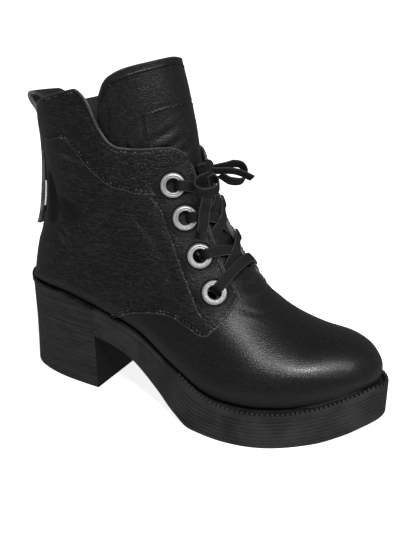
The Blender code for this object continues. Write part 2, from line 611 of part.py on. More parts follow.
# The back strap: one leather strip that starts inside the collar, folds over it as a pull loop and runs
# down the back seam to a free tip, standing off the hollow above the heel
STRAP_THICKNESS = 2.0
STRAP_ROUGHNESS = 0.4
STRAP_HALF_SHARE = 0.088
STRAP_COLUMNS = np.array((-1.0, -0.5, 0.0, 0.5, 1.0))
STRAP_RUN = ((15.55, 2.6), (15.8, 2.6), (16.1, 2.7), (16.5, 2.7), (16.9, 2.3), (17.4, 1.4), (17.9, 1.0),
             (18.35, 1.0))
LOOP_TILT = 1.5
LOOP_COLUMNS = ("x", "z", "wrap", "half_width")
LOOP_ROWS = {
    "outer_leg": (-21.2, 178.2, 3.2, 13.0),
    "outer_top": (-24.4, 184.0, 2.4, 13.4),
    "fold_back": (-25.0, 187.8, 1.6, 13.8),
    "fold": (-22.8, 190.0, 1.2, 14.0),
    "fold_front": (-18.4, 189.4, 1.6, 13.6),
    "inner_top": (-13.6, 186.0, 3.0, 13.0),
    "inner_leg": (-11.6, 178.5, 3.4, 12.4),
    "inner_end": (-11.4, 171.0, 3.4, 12.2),
}


def strap_sheet():
    """Middle sheet of the strap, from its free tip up the back, over the collar and down inside."""
    rows = []
    for place, lift in STRAP_RUN:
        row = []
        for column in STRAP_COLUMNS:
            side = MEDIAL if column > 0 else LATERAL
            share = 1 - STRAP_HALF_SHARE * abs(column)
            normal = last_normals(place, share, side)
            if column == 0:
                normal = normal * (1, 0, 1) / np.linalg.norm(normal * (1, 0, 1))
            rise = QUARTER_RISE + lift + STRAP_THICKNESS / 2
            row.append(last_points(place, share, side) + normal * rise)
        rows.append(row)
    for x, z, wrap, half in LOOP_ROWS.values():
        rows.append([(x + wrap * c**2, half * c, z - LOOP_TILT * c) for c in STRAP_COLUMNS])
    points = np.array(rows)
    return points.reshape(-1, 3), grid_faces(*points.shape[:2])


strap_points, strap_faces = strap_sheet()
strap_normals = sheet_normals(strap_points, strap_faces)
strap_half = np.full(len(strap_points), STRAP_THICKNESS / 2)
strap_skin = shell(strap_points, strap_faces, strap_normals, strap_half, strap_half)
piece("back_strap", *strap_skin, LEATHER, STRAP_ROUGHNESS)

# The bright metal plate behind the strap, seen edge-on
PLATE_ROWS = (16.12, 16.35, 16.6, 16.8)
PLATE_HALF_SHARE = 0.09
PLATE_LIFT = 1.0
PLATE_THICKNESS = 1.0
PLATE_ROUGHNESS = 0.3
plate_points = []
for place in PLATE_ROWS:
    for column in STRAP_COLUMNS:
        side = MEDIAL if column > 0 else LATERAL
        share = 1 - PLATE_HALF_SHARE * abs(column)
        plate_points.append(last_points(place, share, side))
plate_points = np.array(plate_points)
plate_faces = grid_faces(len(PLATE_ROWS), len(STRAP_COLUMNS))
plate_normals = sheet_normals(plate_points, plate_faces)
plate_inner = np.full(len(plate_points), QUARTER_RISE + PLATE_LIFT)
plate_way = 1 if plate_normals[:, 0].mean() < 0 else -1
plate_outer = plate_inner + PLATE_THICKNESS
plate_skin = shell(plate_points, plate_faces, plate_normals * plate_way, plate_outer, -plate_inner)
piece("strap_plate", *plate_skin, STEEL, PLATE_ROUGHNESS, 1.0)


# Laces: flat strips from inside each eyelet's edge across to the eyelet above on the other side
LACE_WIDTH = 6.5
LACE_THICKNESS = 1.3
LACE_STEPS = 13
LACE_ROOM = 1.2
LACE_ON_FACING = 1.5
LACE_AT_RIDGE = 0.9
LACE_PAST_RIDGE = -0.4
BAR_AT_RIDGE = 3.1
LACE_UNDER_EDGE = -1.6
UNDER_EDGE_INSET = 0.06
LACE_ENDS = {"1": (9.7, 10.0), "2": (9.1, 9.25), "3": (7.95, 8.05)}
LACE_LIFT = 0.35
LACE = (0.016, 0.016, 0.016)
LACE_ROUGHNESS = 0.7


def over_last(place, round_share, height):
    """Point and normal at a height over the last; the share round is negative on the lateral side."""
    side = MEDIAL if round_share > 0 else LATERAL
    normal = last_normals(place, abs(round_share), side)
    return last_points(place, abs(round_share), side) + normal * height, normal


def ribbon(path, ups, width, thickness):
    """Solid flat strip along a path, its flat side turned to the given directions."""
    path = np.asarray(path, float)
    run = np.gradient(path, axis=0)
    across = np.cross(run, ups)
    across /= np.linalg.norm(across, axis=1)[:, None]
    up = np.cross(across, run)
    up /= np.linalg.norm(up, axis=1)[:, None]
    corners = ((-1, 0), (1, 0), (1, 1), (-1, 1))
    points = np.stack([path + across * (a * width / 2) + up * (b * thickness) for a, b in corners], axis=1)
    count = len(path)
    faces = []
    for k in range(count - 1):
        for i in range(4):
            j = (i + 1) % 4
            faces.append((4 * k + i, 4 * k + j, 4 * k + 4 + j, 4 * k + 4 + i))
    end = 4 * (count - 1)
    faces += [(3, 2, 1, 0), (end, end + 1, end + 2, end + 3)]
    return points.reshape(-1, 3), faces


def over_eyelet(place, share, side):
    """Height over the last at which a lace clears an eyelet's ring."""
    return QUARTER_RISE + eyelet_seat(place, share, side)[2] + EYELET_DOME + LACE_ROOM


def lace_strip(eyelet, end_place, side, lift):
    """Strip from over an eyelet, across the ridge, to just under the other facing's edge lower down."""
    place, share = eyelet
    end_share = float(throat_share(end_place)) - UNDER_EDGE_INSET
    start = over_eyelet(place, share, side)
    heights = ((0.0, start), (0.25, start), (0.5, LACE_ON_FACING), (0.72, LACE_AT_RIDGE + lift),
               (0.86, LACE_PAST_RIDGE + lift), (1.0, LACE_UNDER_EDGE))
    path, ups = [], []
    for t in np.linspace(0, 1, LACE_STEPS):
        round_share = side * (share + (-end_share - share) * t)
        point, normal = over_last(place + (end_place - place) * t, round_share, float(curve(heights, t)))
        path.append(point)
        ups.append(normal)
    return ribbon(path, ups, LACE_WIDTH, LACE_THICKNESS)


for label, (lateral_end, medial_end) in LACE_ENDS.items():
    under_strip = lace_strip(EYELETS[label], lateral_end, LATERAL, 0.0)
    over_strip = lace_strip(EYELETS[label], medial_end, MEDIAL, LACE_LIFT)
    crossing = piece(f"lace_cross_{label}", *under_strip, LACE, LACE_ROUGHNESS)
    combine(crossing, [piece(f"strip_{label}", *over_strip, LACE, LACE_ROUGHNESS)], "UNION")

bar_place, bar_share = EYELETS["4"]
bar_lateral = over_eyelet(bar_place, bar_share, LATERAL)
bar_medial = over_eyelet(bar_place, bar_share, MEDIAL)
bar_heights = ((-1.0, bar_lateral), (-0.72, bar_lateral), (-0.5, BAR_AT_RIDGE), (0.0, BAR_AT_RIDGE),
               (0.5, BAR_AT_RIDGE), (0.72, bar_medial), (1.0, bar_medial))
bar_path, bar_ups = [], []
for t in np.linspace(-1, 1, LACE_STEPS):
    point, normal = over_last(bar_place, bar_share * t, float(curve(bar_heights, t)))
    bar_path.append(point)
    bar_ups.append(normal)
piece("lace_bar", *ribbon(bar_path, bar_ups, LACE_WIDTH, LACE_THICKNESS), LACE, LACE_ROUGHNESS)


# The bow: a knot on the throat, a curled outer loop, a long inner loop and the two ends
BOW_WIDTH = 6.6
BOW_THICKNESS = 1.3
BOW_STEPS = 17
KNOT_CENTRE = np.array((97.0, -1.5, 153.8))
KNOT_RADII = np.array((3.8, 5.2, 5.2))
KNOT_RINGS = 5
KNOT_TURNS = 8
BOW_PATHS = {
    "lace_loop_lateral": ((100.6, -6.3, 151.2), (99.1, -12.8, 150.8), (98.2, -17.4, 149.2),
                          (100.5, -21.3, 147.5), (105.1, -22.8, 146.5), (110.0, -20.9, 146.7),
                          (112.3, -16.1, 148.1), (109.9, -10.9, 150.4), (106.4, -9.3, 151.3)),
    "lace_loop_medial": ((99.8, 2.6, 154.0), (104.5, 10.0, 154.7), (106.7, 18.0, 154.4),
                         (109.7, 24.0, 152.2), (111.8, 27.0, 146.5), (111.3, 24.0, 141.6),
                         (109.3, 18.0, 141.8), (106.7, 10.0, 145.5), (103.3, 5.2, 149.3)),
    "lace_end_lateral": ((108.0, -20.8, 142.4), (107.0, -21.0, 138.6), (105.8, -20.9, 132.9),
                         (106.4, -22.6, 128.0), (105.8, -23.5, 122.4)),
    "lace_end_medial": ((101.1, 1.8, 152.9), (107.1, 7.0, 152.2), (111.6, 9.5, 151.6), (115.8, 12.0, 149.9),
                        (120.1, 15.0, 147.1)),
}
BOW_FLAT = {
    "lace_loop_lateral": (0.1, -0.35, 0.93),
    "lace_loop_medial": (0.3, -0.55, 0.78),
    "lace_end_lateral": (0.75, 0.55, -0.05),
    "lace_end_medial": (0.3, -0.55, 0.78),
}


def knot_solid():
    """Rounded lump of the knot."""
    points = []
    for i in range(KNOT_RINGS + 1):
        polar = math.pi * i / KNOT_RINGS
        for k in range(KNOT_TURNS):
            angle = 2 * math.pi * k / KNOT_TURNS
            spot = (math.sin(polar) * math.cos(angle), math.sin(polar) * math.sin(angle), math.cos(polar))
            points.append(KNOT_CENTRE + KNOT_RADII * spot)
    faces = []
    for i in range(KNOT_RINGS):
        for k in range(KNOT_TURNS):
            a = i * KNOT_TURNS + k
            b = i * KNOT_TURNS + (k + 1) % KNOT_TURNS
            faces.append((a, b, b + KNOT_TURNS, a + KNOT_TURNS))
    return np.array(points), faces


piece("lace_knot", *knot_solid(), LACE, LACE_ROUGHNESS)
for name, stops in BOW_PATHS.items():
    path = along(np.array(stops), np.linspace(0, len(stops) - 1, BOW_STEPS), steady=False)
    run = np.gradient(path, axis=0)
    flat = np.broadcast_to(np.array(BOW_FLAT[name]), run.shape)
    piece(name, *ribbon(path, np.cross(flat, run), BOW_WIDTH, BOW_THICKNESS), LACE, LACE_ROUGHNESS)
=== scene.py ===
import math

import bpy
import numpy as np
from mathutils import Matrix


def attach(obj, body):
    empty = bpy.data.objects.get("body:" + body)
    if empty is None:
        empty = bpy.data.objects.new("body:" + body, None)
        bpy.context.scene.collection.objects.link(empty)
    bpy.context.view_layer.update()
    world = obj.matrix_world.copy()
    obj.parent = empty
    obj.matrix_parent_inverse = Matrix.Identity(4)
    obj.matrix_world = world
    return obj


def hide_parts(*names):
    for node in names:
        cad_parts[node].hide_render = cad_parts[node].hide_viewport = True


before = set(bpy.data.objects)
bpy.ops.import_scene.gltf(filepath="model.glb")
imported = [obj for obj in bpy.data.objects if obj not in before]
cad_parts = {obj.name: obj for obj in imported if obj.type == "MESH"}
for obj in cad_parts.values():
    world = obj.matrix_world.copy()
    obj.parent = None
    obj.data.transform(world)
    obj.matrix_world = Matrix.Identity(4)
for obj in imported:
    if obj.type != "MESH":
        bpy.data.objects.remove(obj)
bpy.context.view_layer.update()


# Vamp: the smooth front of the upper, one piece of black cow leather 0.9 mm thick. It is wet-moulded
# over the last, pulled under the insole board and glued, and its back edge lies under the quarters.
MM = 0.001
LATERAL = -1
MEDIAL = 1
SIDE_NAMES = {LATERAL: "lateral", MEDIAL: "medial"}
LAST_COLUMNS = ("dorsal_x", "dorsal_y", "dorsal_z", "base_x", "base_y", "base_z", "lateral", "medial",
                "base_lateral", "base_medial", "widest_at", "crown", "flank")
LAST_SECTIONS = {
    "toe_tip": (209.0, 16.0, 36.5, 208.5, 16.0, 28.6, 0.0, 0.0, 0.0, 0.0, 0.70, 2.0, 2.0),
    "toe_wall": (207.5, 16.0, 41.5, 207.0, 15.5, 28.2, 10.5, 10.0, 10.0, 9.5, 0.70, 2.1, 2.0),
    "toe_round": (203.5, 15.5, 47.0, 203.0, 14.5, 26.8, 18.5, 16.5, 17.5, 16.0, 0.70, 2.2, 2.0),
    "toe_cap": (196.5, 14.5, 52.5, 195.5, 13.0, 24.6, 26.5, 23.5, 25.5, 22.5, 0.72, 2.3, 2.0),
    "toe_box": (185.0, 12.0, 57.0, 183.0, 10.5, 22.4, 34.5, 31.0, 33.5, 30.0, 0.74, 2.3, 2.0),
    "joint": (166.0, 8.0, 60.5, 163.0, 5.5, 21.4, 41.5, 37.5, 40.5, 36.5, 0.76, 2.2, 2.0),
    "ball": (149.0, 4.0, 68.0, 140.0, 1.0, 22.0, 44.5, 41.5, 43.5, 40.5, 0.78, 2.1, 2.0),
    "vamp": (133.0, 1.5, 82.0, 116.0, -1.5, 24.8, 42.5, 39.5, 41.0, 37.5, 0.78, 2.0, 2.0),
    "throat": (119.5, 0.0, 99.5, 90.0, -2.0, 36.0, 38.5, 35.5, 35.0, 30.5, 0.74, 2.0, 2.0),
    "waist": (110.0, 0.0, 115.5, 62.0, -1.5, 50.5, 35.5, 33.5, 30.0, 27.0, 0.66, 2.0, 2.0),
    "shank": (103.5, 0.0, 129.5, 34.0, -0.5, 59.0, 34.5, 33.5, 29.5, 28.0, 0.60, 2.0, 2.0),
    "heel_front": (99.0, 0.0, 141.0, 8.0, 0.0, 64.9, 35.0, 34.5, 28.5, 28.0, 0.56, 2.0, 1.9),
    "heel_mid": (96.0, 0.0, 150.0, -12.0, 0.0, 66.5, 35.5, 35.0, 25.0, 25.0, 0.54, 2.0, 1.6),
    "heel_turn": (94.0, 0.0, 157.0, -25.0, 0.0, 67.2, 36.0, 35.5, 16.5, 16.5, 0.53, 2.0, 1.25),
    "heel_back": (92.5, 0.0, 163.0, -31.0, 0.0, 68.3, 36.0, 36.0, 0.0, 0.0, 0.52, 2.0, 1.0),
    "counter": (91.0, 0.0, 170.0, -26.5, 0.0, 88.0, 36.5, 36.5, 0.0, 0.0, 0.51, 2.0, 1.0),
    "ankle": (89.0, 0.0, 179.0, -18.0, 0.0, 112.0, 37.0, 37.0, 0.0, 0.0, 0.50, 2.0, 1.0),
    "shaft": (86.0, 0.0, 190.0, -15.0, 0.0, 138.0, 38.0, 38.0, 0.0, 0.0, 0.50, 2.0, 1.0),
    "collar": (82.5, 0.0, 203.0, -16.0, 0.0, 164.0, 38.5, 38.5, 0.0, 0.0, 0.50, 2.0, 1.0),
    "rim": (78.5, 0.0, 216.0, -19.0, 0.0, 188.0, 39.0, 39.0, 0.0, 0.0, 0.50, 2.0, 1.0),
    "above": (76.0, 0.0, 226.0, -21.0, 0.0, 205.0, 39.5, 39.5, 0.0, 0.0, 0.50, 2.0, 1.0),
}
LAST = np.array(list(LAST_SECTIONS.values()))
HEEL_BACK = float(list(LAST_SECTIONS).index("heel_back"))
QUARTER_TURN = np.linspace(0, math.pi / 2, 33)
THROAT_EDGE = ((0.0, 0.20), (7.65, 0.20), (7.9, 0.185), (9.0, 0.13), (10.5, 0.08), (12.7, 0.055),
               (20.0, 0.055))
VAMP_SEAM = ((0.0, 7.2), (0.17, 7.2), (0.31, 7.26), (0.42, 7.38), (0.4975, 7.49), (0.535, 7.72),
             (0.562, 8.07), (0.597, 8.42), (0.665, 8.74), (0.76, 9.07), (0.862, 9.35), (1.0, 9.57))
THROAT_FOOT = 7.65
THROAT_FOOT_TURN = 0.20
VAMP_TUCK = 0.3
TOE_TUCK = ((0.0, 0.0), (1.0, 2.4), (2.2, 4.0), (3.3, 4.0), (4.4, 2.6), (5.5, 0.9), (6.5, 0.0))
TOE_TUCK_TURNS = (0.62, 0.97)
SEAT_TUCK = 1.6
SEAT_TUCK_TURNS = (0.955, 1.0)
VAMP_GRID = (150, 161)
VAMP_DEPTH = 0.9
VAMP_ROW_POWER = 1.15
VAMP_SIDE_SHARE = 0.25
NORMAL_STEPS = (0.06, 0.012)
FAR_AWAY = 60.0
NO_LINE = 9.0
RING_PRESS = 1.5
RING_SHADE = (0.3, 1.6)
SLIVER = 1e-4
CREASE_STEPS = 15
CREASE_SHOULDER = 1.9
CREASE_FADE = 0.7
# A crease has stops as (section, turn), then the depth, width and shoulder height of its trough.
VAMP_CREASES = {
    "tongue_seam": (((7.15, -0.30), (6.75, -0.24), (6.38, -0.19)), 0.22, 1.8, 0.15),
    "tongue_seam_inner": (((7.15, 0.30), (6.75, 0.24), (6.35, 0.19)), 0.3, 2.2, 0.2),
    "flex_line": (((6.15, -0.12), (6.0, 0.05), (6.2, 0.20)), 0.35, 5.0, 0.15),
    "throat_fold": (((7.35, -0.16), (7.1, -0.05), (7.2, 0.08)), 0.5, 2.2, 0.3),
}


def piece_slopes(rises, steady):
    """Slopes at the points of a line from the rises between them; a steady line never overshoots."""
    slopes = np.concatenate([rises[:1], (rises[:-1] + rises[1:]) / 2, rises[-1:]])
    if steady:
        steep = 3 * np.minimum(np.abs(rises[:-1]), np.abs(rises[1:]))
        same_way = rises[:-1] * rises[1:] > 0
        slopes[1:-1] = np.where(same_way, np.clip(slopes[1:-1], -steep, steep), 0)
    return slopes


def smooth_piece(t, start, leaving, end, arriving):
    """Points at shares t of a smooth line between two points, with its slopes at both."""
    blend = 2 * t**3 - 3 * t**2 + 1
    return blend * start + (t**3 - 2 * t**2 + t) * leaving + (1 - blend) * end + (t**3 - t**2) * arriving


def along(table, place, steady=True):
    """Rows of a table at fractional places on a smooth line through them."""
    place = np.clip(np.asarray(place, float), 0, len(table) - 1)
    slopes = piece_slopes(np.diff(table, axis=0), steady)
    low = np.minimum(place.astype(int), len(table) - 2)
    return smooth_piece((place - low)[..., None], table[low], slopes[low], table[low + 1], slopes[low + 1])


def curve(points, x):
    """Values at x of a steady line through (x, value) points."""
    px, py = np.array(points, float).T
    slopes = piece_slopes(np.diff(py) / np.diff(px), True)
    x = np.clip(np.asarray(x, float), px[0], px[-1])
    low = np.clip(np.searchsorted(px, x, side="right") - 1, 0, len(px) - 2)
    span = px[low + 1] - px[low]
    leaving = span * slopes[low]
    arriving = span * slopes[low + 1]
    return smooth_piece((x - px[low]) / span, py[low], leaving, py[low + 1], arriving)


def smooth_step(low, high, x):
    """Rises softly from 0 at low to 1 at high."""
    t = np.clip((np.asarray(x, float) - low) / (high - low), 0, 1)
    return t * t * (3 - 2 * t)


def unit(vectors):
    """Vectors at length one."""
    return vectors / np.maximum(np.linalg.norm(vectors, axis=-1, keepdims=True), 1e-9)


def half_section(place, side):
    """Points of half sections of the last, from its top line down to its base."""
    column = dict(zip(LAST_COLUMNS, along(LAST, place).T[..., None]))
    width = column[SIDE_NAMES[side]]
    base = column["base_" + SIDE_NAMES[side]]
    run_top = column["widest_at"] * (1 - np.cos(QUARTER_TURN).clip(0) ** (2 / column["crown"]))
    run_low = column["widest_at"] + (1 - column["widest_at"]) * np.sin(QUARTER_TURN[1:])
    out_top = width * np.sin(QUARTER_TURN) ** (2 / column["crown"])
    out_low = base + (width - base) * np.cos(QUARTER_TURN[1:]).clip(0) ** column["flank"]
    run = np.concatenate([run_top, run_low], axis=1)
    out = np.concatenate([out_top, out_low], axis=1)
    x, y, z = (column["dorsal_" + axis] + (column["base_" + axis] - column["dorsal_" + axis]) * run
               for axis in "xyz")
    return np.stack([x, y + side * out, z], axis=-1)


def last_points(place, turn):
    """Points of the last; turn goes from -1, the lateral base, over 0, the top, to 1, the medial base."""
    place, turn = np.broadcast_arrays(np.asarray(place, float), np.asarray(turn, float))
    made = np.zeros(place.shape + (3,))
    for side in SIDE_NAMES:
        own = turn < 0 if side == LATERAL else turn >= 0
        if not own.any():
            continue
        lines = half_section(place[own], side)
        lengths = np.linalg.norm(np.diff(lines, axis=1), axis=2)
        marks = np.concatenate([np.zeros((len(lines), 1)), np.cumsum(lengths, axis=1)], axis=1)
        wanted = np.abs(turn[own]).clip(0, 1) * marks[:, -1]
        low = np.clip((marks < wanted[:, None]).sum(axis=1) - 1, 0, lengths.shape[1] - 1)
        row = np.arange(len(lines))
        t = ((wanted - marks[row, low]) / np.maximum(lengths[row, low], 1e-9)).clip(0, 1)[:, None]
        made[own] = lines[row, low] * (1 - t) + lines[row, low + 1] * t
    return made


def last_slopes(place, turn, step_place, step_turn):
    """How the points of the last move with their section and with their turn."""
    by_place = last_points(place + step_place, turn) - last_points(place - step_place, turn)
    by_turn = last_points(place, turn + step_turn) - last_points(place, turn - step_turn)
    return by_place / (2 * step_place), by_turn / (2 * step_turn)


def last_normals(place, turn):
    """Outward unit normals of the last."""
    step_place, step_turn = NORMAL_STEPS
    place = np.maximum(place, 2 * step_place)
    turn = np.clip(np.asarray(turn, float), step_turn - 1, 1 - step_turn)
    ahead, around = last_slopes(place, turn, step_place, step_turn)
    return unit(np.cross(around, ahead))


def line_distance(points, line):
    """Distance of points to a line of straight pieces, and the share of the line where it is nearest."""
    best = np.full(len(points), np.inf)
    share = np.zeros(len(points))
    count = len(line) - 1
    for k in range(count):
        run = line[k + 1] - line[k]
        t = np.clip((points - line[k]) @ run / max(run @ run, 1e-9), 0, 1)
        far = np.linalg.norm(points - line[k] - t[:, None] * run, axis=1)
        nearer = far < best
        best = np.where(nearer, far, best)
        share = np.where(nearer, (k + t) / count, share)
    return best, share


def nearest_row(points, rows):
    """Distance of points to the nearest of several rows of (points, outward directions)."""
    gaps = [line_distance(points, row[0])[0] for row in rows]
    return np.min([np.full(len(points), NO_LINE), *gaps], axis=0)


def crease_lift(points, creases):
    """Height that soft creases add to a surface: a trough along each line with a low ridge on both sides."""
    flat = points.reshape(-1, 3)
    lift = np.zeros(len(flat))
    for stops, depth, width, ridge in creases.values():
        spots = along(np.array(stops, float), np.linspace(0, len(stops) - 1, CREASE_STEPS), steady=False)
        line = last_points(*spots.T)
        near = np.linalg.norm(flat - line.mean(axis=0), axis=1) < FAR_AWAY
        far, share = line_distance(flat[near], line)
        fade = np.sin(math.pi * np.clip(share, 0.02, 0.98)) ** CREASE_FADE
        trough = -depth * np.exp(-(far / width) ** 2)
        shoulder = ridge * np.exp(-((far - CREASE_SHOULDER * width) / width) ** 2)
        lift[near] += (trough + shoulder) * fade
    return lift.reshape(points.shape[:-1])


def add_node(tree, kind, settings, sockets):
    """A node of one kind, with its settings made first and then its sockets, set or linked."""
    made = tree.nodes.new(kind)
    for key, value in settings.items():
        setattr(made, key, value)
    for key, value in sockets.items():
        if isinstance(value, bpy.types.NodeSocket):
            tree.links.new(value, made.inputs[key])
        else:
            made.inputs[key].default_value = value
    return made


class Shade:
    """A value inside a finish. Sums, differences and products of values add the Math nodes for them."""

    def __init__(self, finish, socket):
        self.finish = finish
        self.socket = socket

    def math(self, operation, *values):
        return self.finish.node("ShaderNodeMath", {"operation": operation}, dict(enumerate(values)))

    def __add__(self, other):
        return self.math("ADD", self, other)

    def __radd__(self, other):
        return self.math("ADD", other, self)

    def __sub__(self, other):
        return self.math("SUBTRACT", self, other)

    def __rsub__(self, other):
        return self.math("SUBTRACT", other, self)

    def __mul__(self, other):
        return self.math("MULTIPLY", self, other)

    def __rmul__(self, other):
        return self.math("MULTIPLY", other, self)

    def __abs__(self):
        return self.math("ABSOLUTE", self)

    def sine(self):
        return self.math("SINE", self)


class Finish:
    """A material with one Principled shader, built from nodes."""

    def __init__(self, name, **fixed):
        self.material = bpy.data.materials.new(name)
        self.material.use_nodes = True
        self.tree = self.material.node_tree
        self.shader = self.tree.nodes["Principled BSDF"]
        for socket, value in fixed.items():
            self.shader.inputs[socket.replace("_", " ")].default_value = value

    def node(self, kind, settings, sockets, output=0):
        """One output of a new node as a value."""
        links = {key: value.socket if isinstance(value, Shade) else value for key, value in sockets.items()}
        return Shade(self, add_node(self.tree, kind, settings, links).outputs[output])

    def place(self):
        """Object coordinates in metres."""
        return self.node("ShaderNodeTexCoord", {}, {}, "Object")

    def axis(self, where, label):
        """One of three coordinates."""
        return self.node("ShaderNodeSeparateXYZ", {}, {"Vector": where}, label)

    def stretched(self, where, scale, turn=(0.0, 0.0, 0.0)):
        """Coordinates with their own scale along each axis, turned first."""
        return self.node("ShaderNodeMapping", {}, {"Vector": where, "Rotation": turn, "Scale": scale})

    def noise(self, where, scale, detail=3.0, roughness=0.55, distortion=0.0):
        return self.node("ShaderNodeTexNoise", {}, {"Vector": where, "Scale": scale, "Detail": detail,
                                                    "Roughness": roughness, "Distortion": distortion}, "Fac")

    def between(self, value, low, high):
        """Soft step of a value from 0 at low to 1 at high."""
        return self.node("ShaderNodeMapRange", {"interpolation_type": "SMOOTHSTEP"},
                         {"Value": value, "From Min": low, "From Max": high})

    def stored(self, name):
        return self.node("ShaderNodeAttribute", {"attribute_name": name}, {}, "Fac")

    def near(self, name, far, close):
        """Soft step of a stored distance from 0 at far to 1 at close."""
        return self.between(self.stored(name), far, close)

    def mix(self, share, first, second):
        """Colour between two colours."""
        return self.node("ShaderNodeMix", {"data_type": "RGBA"}, {"Factor": share, 6: first, 7: second}, 2)

    def feed(self, socket, value):
        self.tree.links.new(value.socket, self.shader.inputs[socket])

    def relief(self, height, distance):
        """Height, as a share of a distance in millimetres, as bumps on the shader's normal."""
        self.feed("Normal", self.node("ShaderNodeBump", {}, {"Strength": 1.0, "Distance": distance * MM,
                                                             "Height": height}))


def grey(level, blue=None):
    """A grey colour; its blue can be a little stronger."""
    return (level, level, blue or level, 1.0)


PEBBLE_SHAPE = (0.75, 1.0, 1.2)
PEBBLE_SCALE = 760.0
FINE_SCALE = 1500.0
DRAWN_SCALE = (220.0, 600.0, 980.0)
FOLD_SCALE = (60.0, 150.0, 280.0)
CLOUD_SCALE = 45.0
TOE_GLOSS_FROM = (0.155, 0.185)
LEATHER_DARK = grey(0.002, 0.0021)
LEATHER_LIGHT = grey(0.019, 0.0192)
# Paler tone for real wear on crease ridges and for a painted floor reflection along the foot of the leather.
LEATHER_WEAR_AND_REFLECTION = grey(0.028, 0.0285)
LEATHER_WORN = grey(0.065, 0.066)
LEATHER_SHADOW = grey(0.0015)


def leather_finish(name, pebble, streak, mottle, roughness, gloss=0.0, sheen=0.42):
    """Black full-grain leather: fine pebbles drawn out where it was stretched, worn edges and ridges, painted
    shade in creases, grooves, at the foot and round eyelets, and a painted floor reflection at the foot.
    """
    finish = Finish(name, Specular_IOR_Level=sheen, Coat_Roughness=0.17)
    where = finish.place()
    cell = finish.node("ShaderNodeTexVoronoi", {"feature": "DISTANCE_TO_EDGE"},
                       {"Vector": finish.stretched(where, PEBBLE_SHAPE), "Scale": PEBBLE_SCALE}, "Distance")
    pebbles = finish.between(cell, 0.02, 0.34)
    fine = finish.noise(where, FINE_SCALE, 2.0)
    drawn = finish.noise(finish.stretched(where, DRAWN_SCALE, (0.0, 0.12, 0.0)), 1.0, 1.5, 0.5, 0.7)
    folds = finish.noise(finish.stretched(where, FOLD_SCALE, (0.0, 0.45, 0.0)), 1.0)
    cloud = finish.noise(where, CLOUD_SCALE)
    toe = finish.between(finish.axis(where, "X"), *TOE_GLOSS_FROM)
    # Masks of painted shade: stitch grooves, the feather groove at the foot and each eyelet flange's outline
    # (seat), the facing round the eyelets, and creases.
    groove = finish.near("stitch_mm", 1.1, 0.25)
    worn = finish.near("edge_mm", 1.1, 0.0)
    seat = finish.near("seat_mm", 2.4, 0.6) + finish.near("ring_mm", 2.4, 0.6)
    facing = finish.near("ring_mm", 13.0, 4.0)
    # Painted floor reflection: a lighter band along the foot of the leather.
    foot = finish.near("seat_mm", 17.0, 5.0)
    crease = finish.near("fold_mm", -0.15, -1.3)
    ridge = finish.near("fold_mm", 0.08, 0.4)
    wrinkles = finish.between(drawn, 0.3, 0.7) + folds
    grain_height = (pebbles * pebble + fine * (0.5 * pebble)) * (1.0 - toe * 0.35)
    finish.relief(grain_height + wrinkles * streak - groove * 0.22, 1.0)
    grain = finish.between(drawn * 0.7 + cloud * 0.1 + pebbles * 0.2, 0.38, 0.68)
    body = finish.mix(0.31 + (grain - 0.35) * mottle, LEATHER_DARK, LEATHER_LIGHT)
    body = finish.mix(foot * 0.35 + ridge * 0.35, body, LEATHER_WEAR_AND_REFLECTION)
    body = finish.mix(worn * 0.7, body, LEATHER_WORN)
    # Painted shade: darker in stitch grooves, the feather groove, round each eyelet flange, over the facing
    # near the eyelets and in creases.
    shadow = groove * 0.85 + seat + crease * 0.9 + facing * 0.55
    finish.feed("Base Color", finish.mix(shadow, body, LEATHER_SHADOW))
    dull = cloud * 0.14 + pebbles * -0.05 + worn * 0.1 + seat * 0.4 + crease * 0.3 + facing * 0.18
    finish.feed("Roughness", roughness + dull)
    finish.feed("Coat Weight", toe * gloss * (0.1 + pebbles * 1.5))
    return finish.material


def tucked(place, turn):
    """How far the leather is drawn in at its foot: all round the seat, and more at the toe's outer corner."""
    down = np.abs(turn)
    corner = curve(TOE_TUCK, place) * smooth_step(*TOE_TUCK_TURNS, down) * (turn < 0)
    seat = SEAT_TUCK * smooth_step(*SEAT_TUCK_TURNS, down) * (place < HEEL_BACK)
    return corner + seat


def grid_faces(rows, columns):
    """Four-sided faces over a grid of points numbered row by row."""
    number = np.arange(rows * columns).reshape(rows, columns)
    corners = [number[:-1, :-1], number[1:, :-1], number[1:, 1:], number[:-1, 1:]]
    return np.stack(corners, axis=-1).reshape(-1, 4)


def closed_skin(outer, inner, faces):
    """Points of a wall between an outer and an inner sheet, and its outer faces, inner faces and cut rims."""
    count = len(outer)
    sides = np.stack([faces, np.roll(faces, -1, axis=1)], axis=-1).reshape(-1, 2).tolist()
    used = set(map(tuple, sides))
    rims = [(b, a, a + count, b + count) for a, b in sides if (b, a) not in used]
    return np.concatenate([outer, inner]), faces.tolist(), (faces[:, ::-1] + count).tolist(), rims


